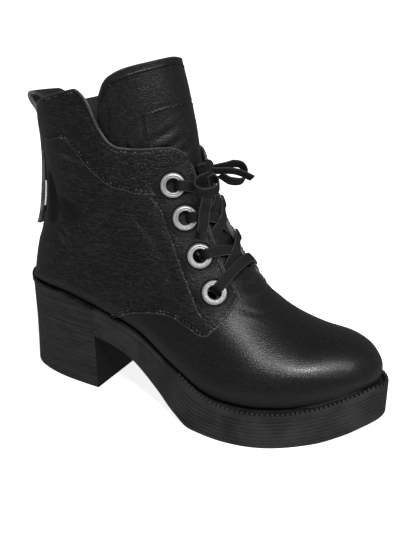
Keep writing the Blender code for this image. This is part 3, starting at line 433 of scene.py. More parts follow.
def finished_piece(name, points, faces, materials, slots=None, values=None, replaced=(), record_slot=None,
                   sharp=50.0, uv=None):
    """A smooth-shaded mesh from points in millimetres, riding on the boot."""
    mesh = bpy.data.meshes.new(name)
    mesh.from_pydata((np.asarray(points) * MM).tolist(), [], [tuple(f) for f in faces])
    for material in materials:
        mesh.materials.append(material)
    if slots is not None:
        mesh.polygons.foreach_set("material_index", np.asarray(slots, np.int32))
    for key, value in (values or {}).items():
        stored = mesh.attributes.new(key, "FLOAT", "POINT")
        stored.data.foreach_set("value", np.asarray(value, np.float32))
    if uv is not None:
        layer = mesh.uv_layers.new(name="cloth")
        corners = np.zeros(len(mesh.loops), np.int32)
        mesh.loops.foreach_get("vertex_index", corners)
        layer.data.foreach_set("uv", np.asarray(uv, np.float32)[corners].ravel())
    mesh.validate()
    mesh.shade_smooth()
    mesh.set_sharp_from_angle(angle=math.radians(sharp))
    made = bpy.data.objects.new(name, mesh)
    bpy.context.scene.collection.objects.link(made)
    settle(made, replaced)
    return made


def settle(made, replaced):
    """Lets a finished piece ride on the boot and stand for its solids."""
    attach(made, "root")
    if replaced:
        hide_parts(*replaced)


def leather_panel(name, place, turn, rise, depth, materials, creases, stitch_rows=(), edge_rows=(), holes=(),
                  replaced="upper"):
    """A leather panel on the last: lifted by rise, as thick as rise and depth say, creased, and pressed flat
    round its holes."""
    base = last_points(place, turn)
    normals = last_normals(place, turn)
    fold = crease_lift(base, creases)
    outer = (base + normals * (rise + fold)[..., None]).reshape(-1, 3)
    inner = (base + normals * (fold - depth)[..., None]).reshape(-1, 3)
    seat = np.where(place < HEEL_BACK, np.linalg.norm(base - last_points(place, np.sign(turn)), axis=-1),
                    FAR_AWAY)
    faces = grid_faces(*base.shape[:2])
    base = base.reshape(-1, 3)
    middle = base[faces].mean(axis=1)
    punched = np.zeros(len(faces), bool)
    ring_gap = np.full(len(base), FAR_AWAY)
    for centre, axis, radius, flat in holes:
        above = (base - centre) @ axis
        aside = np.linalg.norm(base - centre - above[:, None] * axis, axis=1)
        this_side = np.abs(above) < flat
        pressed = (1 - smooth_step(flat, RING_PRESS * flat, aside)) * above * this_side
        outer = outer - pressed[:, None] * axis
        inner = inner - pressed[:, None] * axis
        # The gap to each flange's rim places a painted shadow ring round the eyelet.
        rim_gap = RING_SHADE[0] + RING_SHADE[1] * np.abs(aside - flat)
        ring_gap = np.minimum(ring_gap, np.where(this_side, rim_gap, FAR_AWAY))
        away = middle - centre
        across = np.linalg.norm(away - (away @ axis)[:, None] * axis, axis=1)
        punched |= (np.linalg.norm(away, axis=1) < 3 * radius) & (across < radius)
    whole = np.linalg.norm(outer[faces[:, 0]] - outer[faces[:, 2]], axis=1) > SLIVER
    points, front, back, rims = closed_skin(outer, inner, faces[whole & ~punched])
    slots = [0] * (len(front) + len(back)) + [1] * len(rims)
    edge = nearest_row(outer, edge_rows)
    # These distances carry painted shade into the finish, in stitch grooves, creases, the feather groove and
    # round the eyelets; seat_mm also places a painted floor reflection.
    values = {"stitch_mm": np.tile(nearest_row(outer, stitch_rows), 2),
              "edge_mm": np.concatenate([edge, np.full(len(edge), NO_LINE)]),
              "seat_mm": np.tile(seat.ravel(), 2), "fold_mm": np.tile(fold.ravel(), 2),
              "ring_mm": np.tile(ring_gap, 2)}
    return finished_piece(name, points, front + back + rims, materials, slots, values, (replaced,),
                          "upper_leather")


vamp_leather = leather_finish("vamp_leather", pebble=0.045, streak=0.02, mottle=0.3, roughness=0.31,
                              gloss=0.24, sheen=0.36)
quarter_leather = leather_finish("quarter_leather", pebble=0.05, streak=0.21, mottle=0.7, roughness=0.36)
dyed_edge = leather_finish("dyed_edge", pebble=0.05, streak=0.05, mottle=1.0, roughness=0.6)
vamp_rows = np.linspace(0, 1, VAMP_GRID[0])[:, None] ** VAMP_ROW_POWER
vamp_column = np.linspace(-1, 1, VAMP_GRID[1])[None, :]
vamp_turn = np.sin(vamp_column * math.pi / 2) * VAMP_SIDE_SHARE + vamp_column * (1 - VAMP_SIDE_SHARE)
vamp_share = ((np.abs(vamp_turn) - THROAT_FOOT_TURN) / (1 - THROAT_FOOT_TURN)).clip(0, 1)
vamp_lap = curve(VAMP_SEAM, vamp_share) + VAMP_TUCK
vamp_end = np.where(np.abs(vamp_turn) < THROAT_FOOT_TURN, THROAT_FOOT, vamp_lap)
vamp_place = vamp_rows * vamp_end
vamp_turn = np.broadcast_to(vamp_turn, vamp_place.shape)
vamp_tuck = tucked(vamp_place, vamp_turn)
leather_panel("vamp", vamp_place, vamp_turn, -vamp_tuck, vamp_tuck + VAMP_DEPTH, [vamp_leather, dyed_edge],
              VAMP_CREASES)


# Quarters: the two sides of the upper, cut from softer, more stretched leather. Each is skived at its front
# edge, lapped over the vamp and sewn down with two rows; the cut edges at the throat and top stay raw.
QUARTER_RISE = 0.9
QUARTER_GRID = (118, 150)
TOP_LINE = ((0.0, 13.9), (0.01, 14.43), (0.038, 15.07), (0.081, 15.55), (0.14, 15.91), (0.222, 16.31),
            (0.28, 16.59), (0.328, 16.87), (0.367, 17.31), (0.396, 17.92), (0.415, 18.48), (0.444, 18.88),
            (0.478, 19.04), (0.565, 19.04), (0.836, 18.84), (1.0, 18.7))
MEDIAL_TOP_DROP = ((0.0, 0.8), (0.2, 0.7), (0.45, 0.62), (0.6, 0.52), (0.737, 0.38), (0.831, 0.24),
                   (0.9, 0.12), (1.0, 0.0))
EYELETS = {
    "1": (12.67, 0.151),
    "2": (10.50, 0.192),
    "3": (8.98, 0.260),
    "4": (7.90, 0.333),
}
EYELET_HOLE = 4.8
EYELET_SEAT = 8.0
QUARTER_SINK = 0.02
SKIVE = (0.05, 0.4)
SEAM_ROWS = (0.9, 2.6)
FACING_ROW = ((7.78, 0.507), (7.98, 0.498), (8.38, 0.452), (8.74, 0.42), (9.62, 0.347), (9.98, 0.32),
              (10.9, 0.269), (11.66, 0.247), (12.67, 0.237), (13.3, 0.225))
THROAT_RUN = (7.35, 13.6)
THROAT_ROW = -2.2
TOP_ROW = -1.9
RIM_RUN = 0.22
RIM_THIN = 0.25
ROW_STEPS = 60
ROW_RUN = (0.012, 0.988)
STITCH_LIFT = 0.05
SHIFT_STEPS = (0.05, 0.008)
QUARTER_CREASES = {
    "ankle_low": (((11.6, -0.46), (12.6, -0.52), (13.4, -0.62)), 0.5, 3.2, 0.25),
    "ankle_high": (((12.5, -0.40), (13.4, -0.47), (14.2, -0.58)), 0.4, 3.0, 0.2),
    "back_hollow": (((17.1, -0.80), (16.3, -0.765), (15.2, -0.71)), 3.0, 6.8, 0.2),
    "hollow_run": (((16.1, -0.70), (15.4, -0.60), (14.4, -0.53)), 1.5, 7.0, 0.1),
    "facing_valley": (((12.4, -0.33), (10.4, -0.38), (8.6, -0.53)), 0.7, 4.2, 0.1),
    "achilles_low": (((15.3, -0.89), (15.5, -0.83), (15.6, -0.74)), 0.6, 2.2, 0.3),
    "achilles_high": (((15.9, -0.89), (16.1, -0.84), (16.15, -0.76)), 0.5, 2.0, 0.3),
    "counter_fold": (((15.1, -0.66), (14.5, -0.61), (13.8, -0.58)), 0.45, 1.6, 0.4),
    "shaft_fold_high": (((17.7, -0.70), (17.37, -0.60), (17.0, -0.53)), 0.35, 2.2, 0.25),
    "shaft_fold_low": (((17.2, -0.69), (16.74, -0.56), (16.06, -0.46)), 0.4, 2.6, 0.25),
    "waist_pull": (((9.9, -0.62), (10.3, -0.72), (10.7, -0.84)), 0.35, 4.0, 0.15),
    "inner_ankle": (((12.0, 0.46), (12.9, 0.54), (13.6, 0.64)), 0.5, 3.2, 0.25),
    "inner_achilles": (((15.4, 0.89), (15.6, 0.83), (15.6, 0.74)), 0.6, 2.4, 0.3),
}


def facing_turn(place, share, side):
    """Turn on the last of a share of the panel, from its throat edge at 0 to its base or back edge at 1."""
    edge = curve(THROAT_EDGE, place)
    return side * (edge + share * (1 - edge))


def seam_line(seam, share, side):
    """Section places and turns of a seam at shares of the panel."""
    place = curve(seam, share)
    return place, facing_turn(place, share, side)


def top_place(share, side):
    """Section place of the top line."""
    top = curve(TOP_LINE, share)
    return top if side == LATERAL else top - curve(MEDIAL_TOP_DROP, share)


def panel_grid(low, top, share, rows, side):
    """Section places and turns of a panel's grid, from its low line up to its top line."""
    place = low + (top - low) * np.linspace(0, 1, rows)[:, None]
    return place, facing_turn(place, share, side)


def shifted(place, turn, side, distance):
    """A line on the last moved over the leather: back and up where it runs down, inwards if below 0."""
    place = np.asarray(place, float)
    turn = np.asarray(turn, float)
    run = unit(np.gradient(last_points(place, turn), axis=0))
    wanted = np.cross(last_normals(place, turn), run) * (side * distance)
    by_place, by_turn = last_slopes(place, turn, *SHIFT_STEPS)
    place_sq, both, turn_sq, to_place, to_turn = (
        (first * second).sum(axis=1)
        for first, second in ((by_place, by_place), (by_place, by_turn), (by_turn, by_turn),
                              (wanted, by_place), (wanted, by_turn)))
    scale = place_sq * turn_sq - both * both
    new_turn = turn + (to_turn * place_sq - to_place * both) / scale
    return place + (to_place * turn_sq - to_turn * both) / scale, new_turn.clip(-1, 1)


def leather_line(place, turn, lift):
    """Points over the last along a line, and the outward normals there."""
    out = last_normals(place, turn)
    return last_points(place, turn) + out * lift, out


def eyelet_axis(label, side, lift):
    """Centre of an eyelet at a height over the last, and its axis."""
    place, share = EYELETS[label]
    points, out = leather_line(np.array([place]), np.array([side * share]), lift)
    return points[0], out[0]


def thinned(place, top):
    """Share of a layer's thickness: whole over the panel, skived thin along the top line."""
    return RIM_THIN + (1 - RIM_THIN) * smooth_step(0.0, RIM_RUN, top - place)


TONGUE_SEAM_STEPS = 12
RAW_FIBRE_SCALE = 900.0
RAW_PATCH_SCALE = 120.0
RAW_HIGHLIGHT_FROM = (0.015, 0.05)
raw_edge = Finish("raw_edge", Specular_IOR_Level=0.25, Roughness=0.75)
raw_where = raw_edge.place()
raw_fibre = raw_edge.noise(raw_where, RAW_FIBRE_SCALE)
raw_patch = raw_edge.between(raw_edge.noise(raw_where, RAW_PATCH_SCALE, 2.0), 0.38, 0.62)
# Painted highlight: the raw edges grow paler toward the front of the boot, where they catch the light; their
# patchy grey is their own.
raw_front_highlight = raw_edge.between(raw_edge.axis(raw_where, "X"), *RAW_HIGHLIGHT_FROM)
raw_tone = raw_edge.mix(raw_patch * (0.6 + raw_front_highlight * 0.4), grey(0.05, 0.051), grey(0.19, 0.192))
raw_edge.feed("Base Color", raw_edge.mix(raw_fibre * 0.4, raw_tone, grey(0.015)))
raw_edge.relief(raw_fibre, 0.12)
tongue_seam = along(np.array(VAMP_CREASES["tongue_seam"][0]), np.linspace(0, 2, TONGUE_SEAM_STEPS))
seam_rows = [leather_line(*tongue_seam.T, STITCH_LIFT)]
facing_row = along(np.array(FACING_ROW), np.linspace(0, len(FACING_ROW) - 1, ROW_STEPS))
holes = [(*eyelet_axis(label, side, 0.0), EYELET_HOLE, EYELET_SEAT)
         for side in SIDE_NAMES for label in EYELETS]
row_share = np.linspace(*ROW_RUN, ROW_STEPS)
throat_place = np.linspace(*THROAT_RUN, ROW_STEPS)
quarter_share = np.linspace(0, 1, QUARTER_GRID[1])[None, :]
for side, side_name in SIDE_NAMES.items():
    front = curve(VAMP_SEAM, quarter_share)
    top = top_place(quarter_share, side)
    place, turn = panel_grid(front, top, quarter_share, QUARTER_GRID[0], side)
    tuck = tucked(place, turn)
    lap = smooth_step(VAMP_TUCK + SKIVE[0], VAMP_TUCK + SKIVE[1], place - front)
    depth = tuck + VAMP_DEPTH * lap * thinned(place, top) - QUARTER_SINK
    seam = seam_line(VAMP_SEAM, row_share, side)
    throat = (throat_place, facing_turn(throat_place, 0.0, side))
    rim_place = top_place(row_share, side)
    rim = (rim_place, facing_turn(rim_place, row_share, side))
    lines = [shifted(*seam, side, gap) for gap in SEAM_ROWS]
    lines.append((facing_row[:, 0], side * facing_row[:, 1]))
    lines.append(shifted(*throat, side, THROAT_ROW))
    rows_here = [leather_line(*line, QUARTER_RISE + STITCH_LIFT) for line in lines]
    seam_rows += rows_here
    leather_panel(f"quarter_{side_name}", place, turn, QUARTER_RISE - tuck, depth,
                  [quarter_leather, raw_edge.material], QUARTER_CREASES, rows_here,
                  [leather_line(*edge, QUARTER_RISE) for edge in (rim, seam, throat)], holes)


# Collar band: a strip of the same leather round the top, lapped over the quarters from above. It is sewn on
# with two rows along its lower edge and one row below the raw top line.
BAND_SEAM = ((0.0, 12.0), (0.1, 12.1), (0.172, 12.36), (0.19, 12.83), (0.209, 13.65), (0.252, 14.49),
             (0.304, 14.98), (0.358, 15.49), (0.413, 16.05), (0.463, 16.56), (0.508, 17.06), (0.542, 17.42),
             (0.582, 17.66), (0.622, 17.76), (1.0, 17.85))
BAND_RISE = 0.6
BAND_START = 0.165
BAND_TAPER = 0.05
BAND_LIFT = 0.02
BAND_BACK = 0.01
BAND_ROW_FROM = 0.03
BAND_ROW_END = 0.985
TOP_ROW_FROM = 0.004
BAND_GRID = (44, 150)
BAND_ROWS = (1.0, 2.4)
band_share = np.linspace(BAND_START, 1, BAND_GRID[1])[None, :]
band_low = curve(BAND_SEAM, band_share)
band_taper = smooth_step(BAND_START, BAND_START + BAND_TAPER, band_share)
band_row_share = np.linspace(BAND_START + BAND_ROW_FROM, BAND_ROW_END, ROW_STEPS)
edge_share = np.linspace(TOP_ROW_FROM, BAND_ROW_END, 2 * ROW_STEPS)
edge_taper = smooth_step(BAND_START, BAND_START + BAND_TAPER, edge_share)
for side, side_name in SIDE_NAMES.items():
    top = top_place(band_share, side)
    place, turn = panel_grid(band_low, top, band_share, BAND_GRID[0], side)
    rise = QUARTER_RISE + BAND_LIFT + BAND_RISE * band_taper * thinned(place, top)
    seam = seam_line(BAND_SEAM, band_row_share, side)
    rows_here = [leather_line(*shifted(*seam, side, gap), QUARTER_RISE + BAND_RISE + STITCH_LIFT)
                 for gap in BAND_ROWS]
    edge_place = top_place(edge_share, side)
    edge = (edge_place, facing_turn(edge_place, edge_share, side))
    top_row = shifted(*edge, side, TOP_ROW)
    band_here = BAND_RISE * edge_taper * thinned(top_row[0], edge_place)
    rows_here.append(leather_line(*top_row, (QUARTER_RISE + STITCH_LIFT + band_here)[:, None]))
    seam_rows += rows_here
    band_edges = [leather_line(*edge, QUARTER_RISE + BAND_RISE * RIM_THIN),
                  leather_line(*seam, QUARTER_RISE + BAND_RISE)]
    leather_panel(f"collar_band_{side_name}", place, turn, rise,
                  np.full(place.shape, -QUARTER_RISE - BAND_BACK), [quarter_leather, raw_edge.material],
                  QUARTER_CREASES, rows_here, band_edges)


# Lining: dark leather 0.6 mm thick with its nap turned to the foot. It is glued inside the whole upper and
# cut level with the top line and the throat.
LINING_OUT = -0.9
LINING_IN = 1.5
LINING_FOOT = 0.4
LINING_GRID = (84, 70)


def napped_finish(name, scale, dark, light, nap=0.0, detail=3.0, **fixed):
    """A plain finish, mottled between two colours, with a nap of the given height."""
    finish = Finish(name, **fixed)
    fibre = finish.noise(finish.place(), scale, detail)
    finish.feed("Base Color", finish.mix(fibre, dark, light))
    if nap:
        finish.relief(fibre, nap)
    return finish.material


lining_leather = napped_finish("lining_leather", scale=700.0, dark=grey(0.012), light=grey(0.028), nap=0.15,
                               Specular_IOR_Level=0.3, Roughness=0.7)
lining_share = np.linspace(0, 1, LINING_GRID[1])[None, :]
for side, side_name in SIDE_NAMES.items():
    top = top_place(lining_share, side)
    place, turn = panel_grid(LINING_FOOT, top, lining_share, LINING_GRID[0], side)
    tuck = tucked(place, turn)
    leather_panel(f"lining_{side_name}", place, turn, LINING_OUT * thinned(place, top) - tuck,
                  LINING_IN * thinned(place, top) + tuck, [lining_leather, raw_edge.material],
                  QUARTER_CREASES, holes=holes)


# Tongue: a wide tall panel of two leather layers sewn into the throat's foot. Its top is hemmed with one row,
# and a double-sewn seam crosses it below the hem; it is creased where it bends round the ankle.
TONGUE_SINK = 2.3
TONGUE_THICKNESS = 1.8
TONGUE_FOOT = 6.9
TONGUE_WIDTH = ((6.9, 0.20), (7.7, 0.235), (9.0, 0.26), (11.0, 0.28), (13.0, 0.31), (14.5, 0.36),
                (16.0, 0.44), (17.0, 0.45), (18.0, 0.425), (18.6, 0.405), (19.5, 0.40))
TONGUE_TOP = ((-1.0, 18.55), (-0.92, 18.98), (-0.8, 19.25), (-0.45, 19.4), (-0.1, 19.38), (0.2, 19.15),
              (0.6, 18.95), (0.92, 18.7), (1.0, 18.35))
TONGUE_GRID = (130, 121)
TONGUE_HEM = 0.38
HEM_REACH = 0.96
TONGUE_CROSS = ((-0.52, 17.5), (-0.36, 17.46), (-0.19, 17.38), (0.13, 17.23), (0.98, 16.85))
TONGUE_CROSS_GAP = -0.09
MARKS_COLUMN = -0.85
MARKS_RUN = (17.3, 18.1)
MARKS_STEPS = 12
TONGUE_CREASES = {
    "cross_seam": (((17.5, -0.24), (17.42, -0.12), (17.23, 0.06), (16.85, 0.43)), 0.5, 0.8, 0.2),
    "upright_fold": (((17.45, -0.233), (16.96, -0.230), (16.32, -0.228)), 0.6, 1.2, 0.35),
    "ankle_bend": (((17.0, -0.33), (16.2, -0.30), (15.4, -0.29)), 0.8, 1.7, 0.45),
    "bend_side": (((16.5, -0.24), (16.3, -0.16), (16.45, -0.08)), 0.45, 2.0, 0.25),
    "bend_low": (((15.7, -0.27), (15.5, -0.18), (15.6, -0.06)), 0.45, 2.2, 0.25),
    "bend_lowest": (((14.9, -0.22), (14.7, -0.12), (14.85, 0.0)), 0.4, 2.2, 0.2),
    "inner_bend": (((16.9, 0.33), (16.2, 0.30), (15.5, 0.28)), 0.6, 1.8, 0.35),
}
tongue_leather = leather_finish("tongue_leather", pebble=0.04, streak=0.07, mottle=0.5, roughness=0.36)
tongue_column = np.linspace(-1, 1, TONGUE_GRID[1])[None, :]
tongue_row = np.linspace(0, 1, TONGUE_GRID[0])[:, None]
tongue_place = TONGUE_FOOT + (curve(TONGUE_TOP, tongue_column) - TONGUE_FOOT) * tongue_row
tongue_turn = curve(TONGUE_WIDTH, tongue_place) * tongue_column


def tongue_line(columns, place):
    """Row over the tongue."""
    return leather_line(place, curve(TONGUE_WIDTH, place) * columns, STITCH_LIFT - TONGUE_SINK)


hem_column = np.linspace(-HEM_REACH, HEM_REACH, ROW_STEPS)
cross_column = np.linspace(TONGUE_CROSS[0][0], TONGUE_CROSS[-1][0], ROW_STEPS)
top_column = np.linspace(-1, 1, ROW_STEPS)
tongue_rows = [tongue_line(hem_column, curve(TONGUE_TOP, hem_column) - TONGUE_HEM),
               tongue_line(cross_column, curve(TONGUE_CROSS, cross_column) + TONGUE_CROSS_GAP),
               tongue_line(np.full(MARKS_STEPS, MARKS_COLUMN), np.linspace(*MARKS_RUN, MARKS_STEPS))]
leather_panel("tongue_panel", tongue_place, tongue_turn, np.full(tongue_place.shape, -TONGUE_SINK),
              np.full(tongue_place.shape, TONGUE_SINK + TONGUE_THICKNESS), [tongue_leather, dyed_edge],
              TONGUE_CREASES, tongue_rows, [tongue_line(top_column, curve(TONGUE_TOP, top_column))],
              replaced="tongue")


# Stitches: bonded polyester thread, about ten stitches to the inch, drawn into the leather along every seam.
# One short rounded stitch is set along each row at an even pitch; the tongue is sewn with a darker thread.
STITCH_PITCH = 2.6
STITCH_LENGTH = 2.0
STITCH_WIDTH = 0.8
STITCH_FLATNESS = 0.7
THREAD_SCALE = 330.0


class Recipe:
    """A Geometry Nodes tree with named inputs that makes pieces from lines or points."""

    def __init__(self, name, inputs):
        self.tree = bpy.data.node_groups.new(name, "GeometryNodeTree")
        inputs = {"Line": "NodeSocketGeometry", **inputs, "Material": "NodeSocketMaterial"}
        for label, kind in inputs.items():
            self.tree.interface.new_socket(label, in_out="INPUT", socket_type=kind)
        self.tree.interface.new_socket("Made", in_out="OUTPUT", socket_type="NodeSocketGeometry")
        self.given = self.tree.nodes.new("NodeGroupInput")
        self.result = self.tree.nodes.new("NodeGroupOutput")

    def value(self, label):
        return self.given.outputs[label]

    def node(self, kind, settings, sockets, output=0):
        """One output of a new node."""
        return add_node(self.tree, kind, settings, sockets).outputs[output]

    def outwards(self):
        """The outward direction that is stored on the line."""
        return self.node("GeometryNodeInputNamedAttribute", {"data_type": "FLOAT_VECTOR"}, {"Name": "out"})

    def line(self):
        """The line as a curve."""
        return self.node("GeometryNodeMeshToCurve", {}, {0: self.value("Line")})

    def sized(self, geometry, label):
        """Geometry at the scale of a named input."""
        return self.node("GeometryNodeTransform", {}, {"Geometry": geometry, "Scale": self.value(label)})

    def spaced(self, instance):
        """Instances at an even pitch along the line, with X along it and Z outwards."""
        stops = self.node("GeometryNodeResampleCurve", {"mode": "LENGTH"},
                          {"Curve": self.line(), "Length": self.value("Pitch")})
        ahead = self.node("FunctionNodeAlignRotationToVector", {"axis": "X"},
                          {"Vector": self.node("GeometryNodeInputTangent", {}, {})})
        turned = self.node("FunctionNodeAlignRotationToVector", {"axis": "Z", "pivot_axis": "X"},
                           {"Rotation": ahead, "Vector": self.outwards()})
        return self.node("GeometryNodeInstanceOnPoints", {},
                         {"Points": stops, "Instance": instance, "Rotation": turned})

    def close(self, geometry):
        """Real geometry, smooth, with the given material, as the tree's result."""
        real = self.node("GeometryNodeRealizeInstances", {}, {0: geometry})
        smooth = self.node("GeometryNodeSetShadeSmooth", {}, {0: real})
        dressed = self.node("GeometryNodeSetMaterial", {}, {0: smooth, "Material": self.value("Material")})
        self.tree.links.new(dressed, self.result.inputs[0])

    def make(self, name, lines, record_slot, replaced=(), **values):
        """A finished piece made from lines of (points, outward directions) in millimetres."""
        points = np.concatenate([line[0] for line in lines])
        outs = np.concatenate([line[1] for line in lines])
        edges, start = [], 0
        for line in lines:
            edges += [(start + k, start + k + 1) for k in range(len(line[0]) - 1)]
            start += len(line[0])
        mesh = bpy.data.meshes.new(name)
        mesh.from_pydata((points * MM).tolist(), edges, [])
        mesh.attributes.new("out", "FLOAT_VECTOR", "POINT").data.foreach_set("vector", outs.ravel())
        made = bpy.data.objects.new(name, mesh)
        bpy.context.scene.collection.objects.link(made)
        modifier = made.modifiers.new(name, "NODES")
        modifier.node_group = self.tree
        for item in self.tree.interface.items_tree:
            if item.in_out == "INPUT" and item.name in values:
                modifier[item.identifier] = values[item.name]
        seen = made.evaluated_get(bpy.context.evaluated_depsgraph_get())
        real = bpy.data.meshes.new_from_object(seen)
        made.modifiers.clear()
        made.data = real
        settle(made, replaced)
        return made


def thread_finish(name, patches, dark, light, **fixed):
    """Thread whose tone changes in patches along the row."""
    thread = Finish(name, **fixed)
    tone = thread.between(thread.noise(thread.place(), THREAD_SCALE, 2.0), *patches)
    thread.feed("Base Color", thread.mix(tone, dark, light))
    return thread.material


stitching = Recipe("stitching", {"Pitch": "NodeSocketFloat", "Size": "NodeSocketVector"})
stitch_ball = stitching.node("GeometryNodeMeshIcoSphere", {}, {"Radius": 0.5, "Subdivisions": 2})
stitching.close(stitching.spaced(stitching.sized(stitch_ball, "Size")))
stitch_size = (STITCH_LENGTH * MM, STITCH_WIDTH * MM, STITCH_WIDTH * STITCH_FLATNESS * MM)
thread = thread_finish("thread", (0.45, 0.70), grey(0.006), grey(0.09), Specular_IOR_Level=0.35,
                       Roughness=0.6)
stitching.make("stitches", seam_rows, "upper_leather", Pitch=STITCH_PITCH * MM, Size=stitch_size,
               Material=thread)
dark_thread = thread_finish("dark_thread", (0.45, 0.75), grey(0.002), grey(0.03), Specular_IOR_Level=0.3,
                            Roughness=0.7)
stitching.make("tongue_stitches", tongue_rows, "upper_leather", Pitch=STITCH_PITCH * MM, Size=stitch_size,
               Material=dark_thread)


# Eyelets: four large rings on each facing, pressed from plated steel. The rolled front closes over a barrel
# that goes through the punched hole and is flared inside.
EYELET_BORE = 4.0
EYELET_FLANGE = 7.5
EYELET_DOME = 1.7
EYELET_BARREL_WALL = 0.5
EYELET_BARREL_DEPTH = 3.0
EYELET_LIFT = 0.1
BORE_SHADE = (4.15, 4.55)
ROLL_LINE = 5.5
EYELET_TURNS = 56
ROLL_TURNS = 24
STEEL_CLOUD_SCALE = 240.0
STEEL_RUB_SCALE = 900.0
rings = Recipe("ring_eyelets", {"Middle": "NodeSocketFloat", "Roll": "NodeSocketVector",
                                "Barrel": "NodeSocketFloat"})
ring_circle = rings.node("GeometryNodeCurvePrimitiveCircle", {},
                         {"Resolution": EYELET_TURNS, "Radius": rings.value("Middle")})
roll_circle = rings.node("GeometryNodeCurvePrimitiveCircle", {}, {"Resolution": ROLL_TURNS, "Radius": 1.0})
roll_ring = rings.node("GeometryNodeCurveToMesh", {},
                       {"Curve": ring_circle, "Profile Curve": rings.sized(roll_circle, "Roll")})
barrel_tube = rings.node("GeometryNodeMeshCylinder", {"fill_type": "NONE"},
                         {"Vertices": EYELET_TURNS, "Radius": rings.value("Barrel"),
                          "Depth": EYELET_BARREL_DEPTH * MM}, "Mesh")
barrel_drop = (0.0, 0.0, -0.5 * EYELET_BARREL_DEPTH * MM)
barrel_low = rings.node("GeometryNodeTransform", {}, {"Geometry": barrel_tube, "Translation": barrel_drop})
ring_whole = rings.node("GeometryNodeJoinGeometry", {}, {0: roll_ring})
rings.tree.links.new(barrel_low, ring_whole.node.inputs[0])
ring_flat = rings.node("ShaderNodeVectorMath", {"operation": "MULTIPLY"},
                       {0: rings.node("GeometryNodeInputPosition", {}, {}), 1: (1.0 / MM, 1.0 / MM, 0.0)})
ring_radius = rings.node("ShaderNodeVectorMath", {"operation": "LENGTH"}, {0: ring_flat}, "Value")
ring_whole = rings.node("GeometryNodeStoreNamedAttribute", {"data_type": "FLOAT", "domain": "POINT"},
                        {"Geometry": ring_whole, "Name": "radius_mm", "Value": ring_radius})
ring_turn = rings.node("FunctionNodeAlignRotationToVector", {"axis": "Z"}, {"Vector": rings.outwards()})
rings.close(rings.node("GeometryNodeInstanceOnPoints", {},
                       {"Points": rings.value("Line"), "Instance": ring_whole, "Rotation": ring_turn}))
steel = Finish("plated_steel", Metallic=0.65)
steel_where = steel.place()
steel_cloud = steel.noise(steel_where, STEEL_CLOUD_SCALE)
steel_rub = steel.between(steel.noise(steel_where, STEEL_RUB_SCALE, 2.0), 0.52, 0.68)
steel_radius = steel.stored("radius_mm")
# Painted shade: the steel turns near black down the bore.
steel_bore = steel.between(steel_radius, BORE_SHADE[1], BORE_SHADE[0])
# Painted shade: a dark line in the step between the two rolls, beside a groove bump.
steel_line = steel.between(abs(steel_radius - ROLL_LINE), 0.6, 0.15)
steel_plate = steel.mix(steel_cloud, grey(0.42, 0.43), grey(0.72, 0.73))
steel_plate = steel.mix(steel_line * 0.6, steel_plate, grey(0.12))
steel.feed("Base Color", steel.mix(steel_bore, steel_plate, grey(0.004)))
steel.feed("Roughness", 0.34 + steel_cloud * 0.16 + steel_rub * 0.08 + steel_bore * 0.4)
steel.relief(steel_line * -0.25, 1.0)
ring_names, ring_spots = [], []
for side, side_name in SIDE_NAMES.items():
    for label in EYELETS:
        centre, axis = eyelet_axis(label, side, QUARTER_RISE + EYELET_LIFT)
        ring_names.append(f"eyelet_{side_name}_{label}")
        ring_spots.append((centre[None, :], axis[None, :]))
rings.make("eyelets", ring_spots, "plated_steel", ring_names, Middle=(EYELET_BORE + EYELET_FLANGE) / 2 * MM,
           Roll=((EYELET_FLANGE - EYELET_BORE) / 2 * MM, EYELET_DOME * MM, MM),
           Barrel=(EYELET_BORE + EYELET_BARREL_WALL) * MM, Material=steel.material)


# Back strap: one folded strip of leather that starts inside the collar, goes over it as a pull loop and runs
# down the back seam to a free tip. It stands off the hollow above the heel; its flesh side is paler. A bright
# nickelled plate sits behind it.
STRAP_THICKNESS = 2.0
STRAP_HALF_SHARE = 0.088
# A stop on the back seam has its section and its gap to the leather.
STRAP_RUN = ((15.55, 2.6), (15.8, 2.6), (16.1, 2.7), (16.5, 2.7), (16.9, 2.3), (17.4, 1.4), (17.9, 1.0),
             (18.35, 1.0))
LOOP_TILT = 1.5
# A row of the loop has x and z of its middle, how far its edges wrap forwards, and half its width.
LOOP_ROWS = {
    "outer_leg": (-21.2, 178.2, 3.2, 13.0),
    "outer_top": (-24.4, 184.0, 2.4, 13.4),
    "fold_back": (-25.0, 187.8, 1.6, 13.8),
    "fold": (-22.8, 190.0, 1.2, 14.0),
    "fold_front": (-18.4, 189.4, 1.6, 13.6),
    "inner_top": (-13.6, 186.0, 3.0, 13.0),
    "inner_leg": (-11.6, 178.5, 3.4, 12.4),
    "inner_end": (-11.4, 171.0, 3.4, 12.2),
}
STRAP_GRID = (150, 31)
STRAP_FLAT = 0.5
strap_column = np.linspace(-1, 1, STRAP_GRID[1])
strap_turn = np.where(strap_column > 0, 1, -1) - STRAP_HALF_SHARE * strap_column
strap_side = smooth_step(0.0, STRAP_FLAT, np.abs(strap_column))[:, None]
strap_stops = []
for place, lift in STRAP_RUN:
    out = last_normals(place, strap_turn)
    out = unit(out * strap_side + unit(out * (1, 0, 1)) * (1 - strap_side))
    strap_stops.append(last_points(place, strap_turn) + out * (QUARTER_RISE + lift + STRAP_THICKNESS / 2))
for x, z, wrap, half in LOOP_ROWS.values():
    loop_row = [x + wrap * strap_column**2, half * strap_column, z - LOOP_TILT * strap_column]
    strap_stops.append(np.stack(loop_row, axis=1))
strap_table = np.array(strap_stops).reshape(len(strap_stops), -1)
strap_place = np.linspace(0, len(strap_stops) - 1, STRAP_GRID[0])
strap_middle = along(strap_table, strap_place, steady=False).reshape(*STRAP_GRID, 3)
strap_out = unit(np.cross(np.gradient(strap_middle, axis=0), np.gradient(strap_middle, axis=1)))
strap_half = strap_out * STRAP_THICKNESS / 2 * -np.sign(strap_out[0, :, 0].mean())
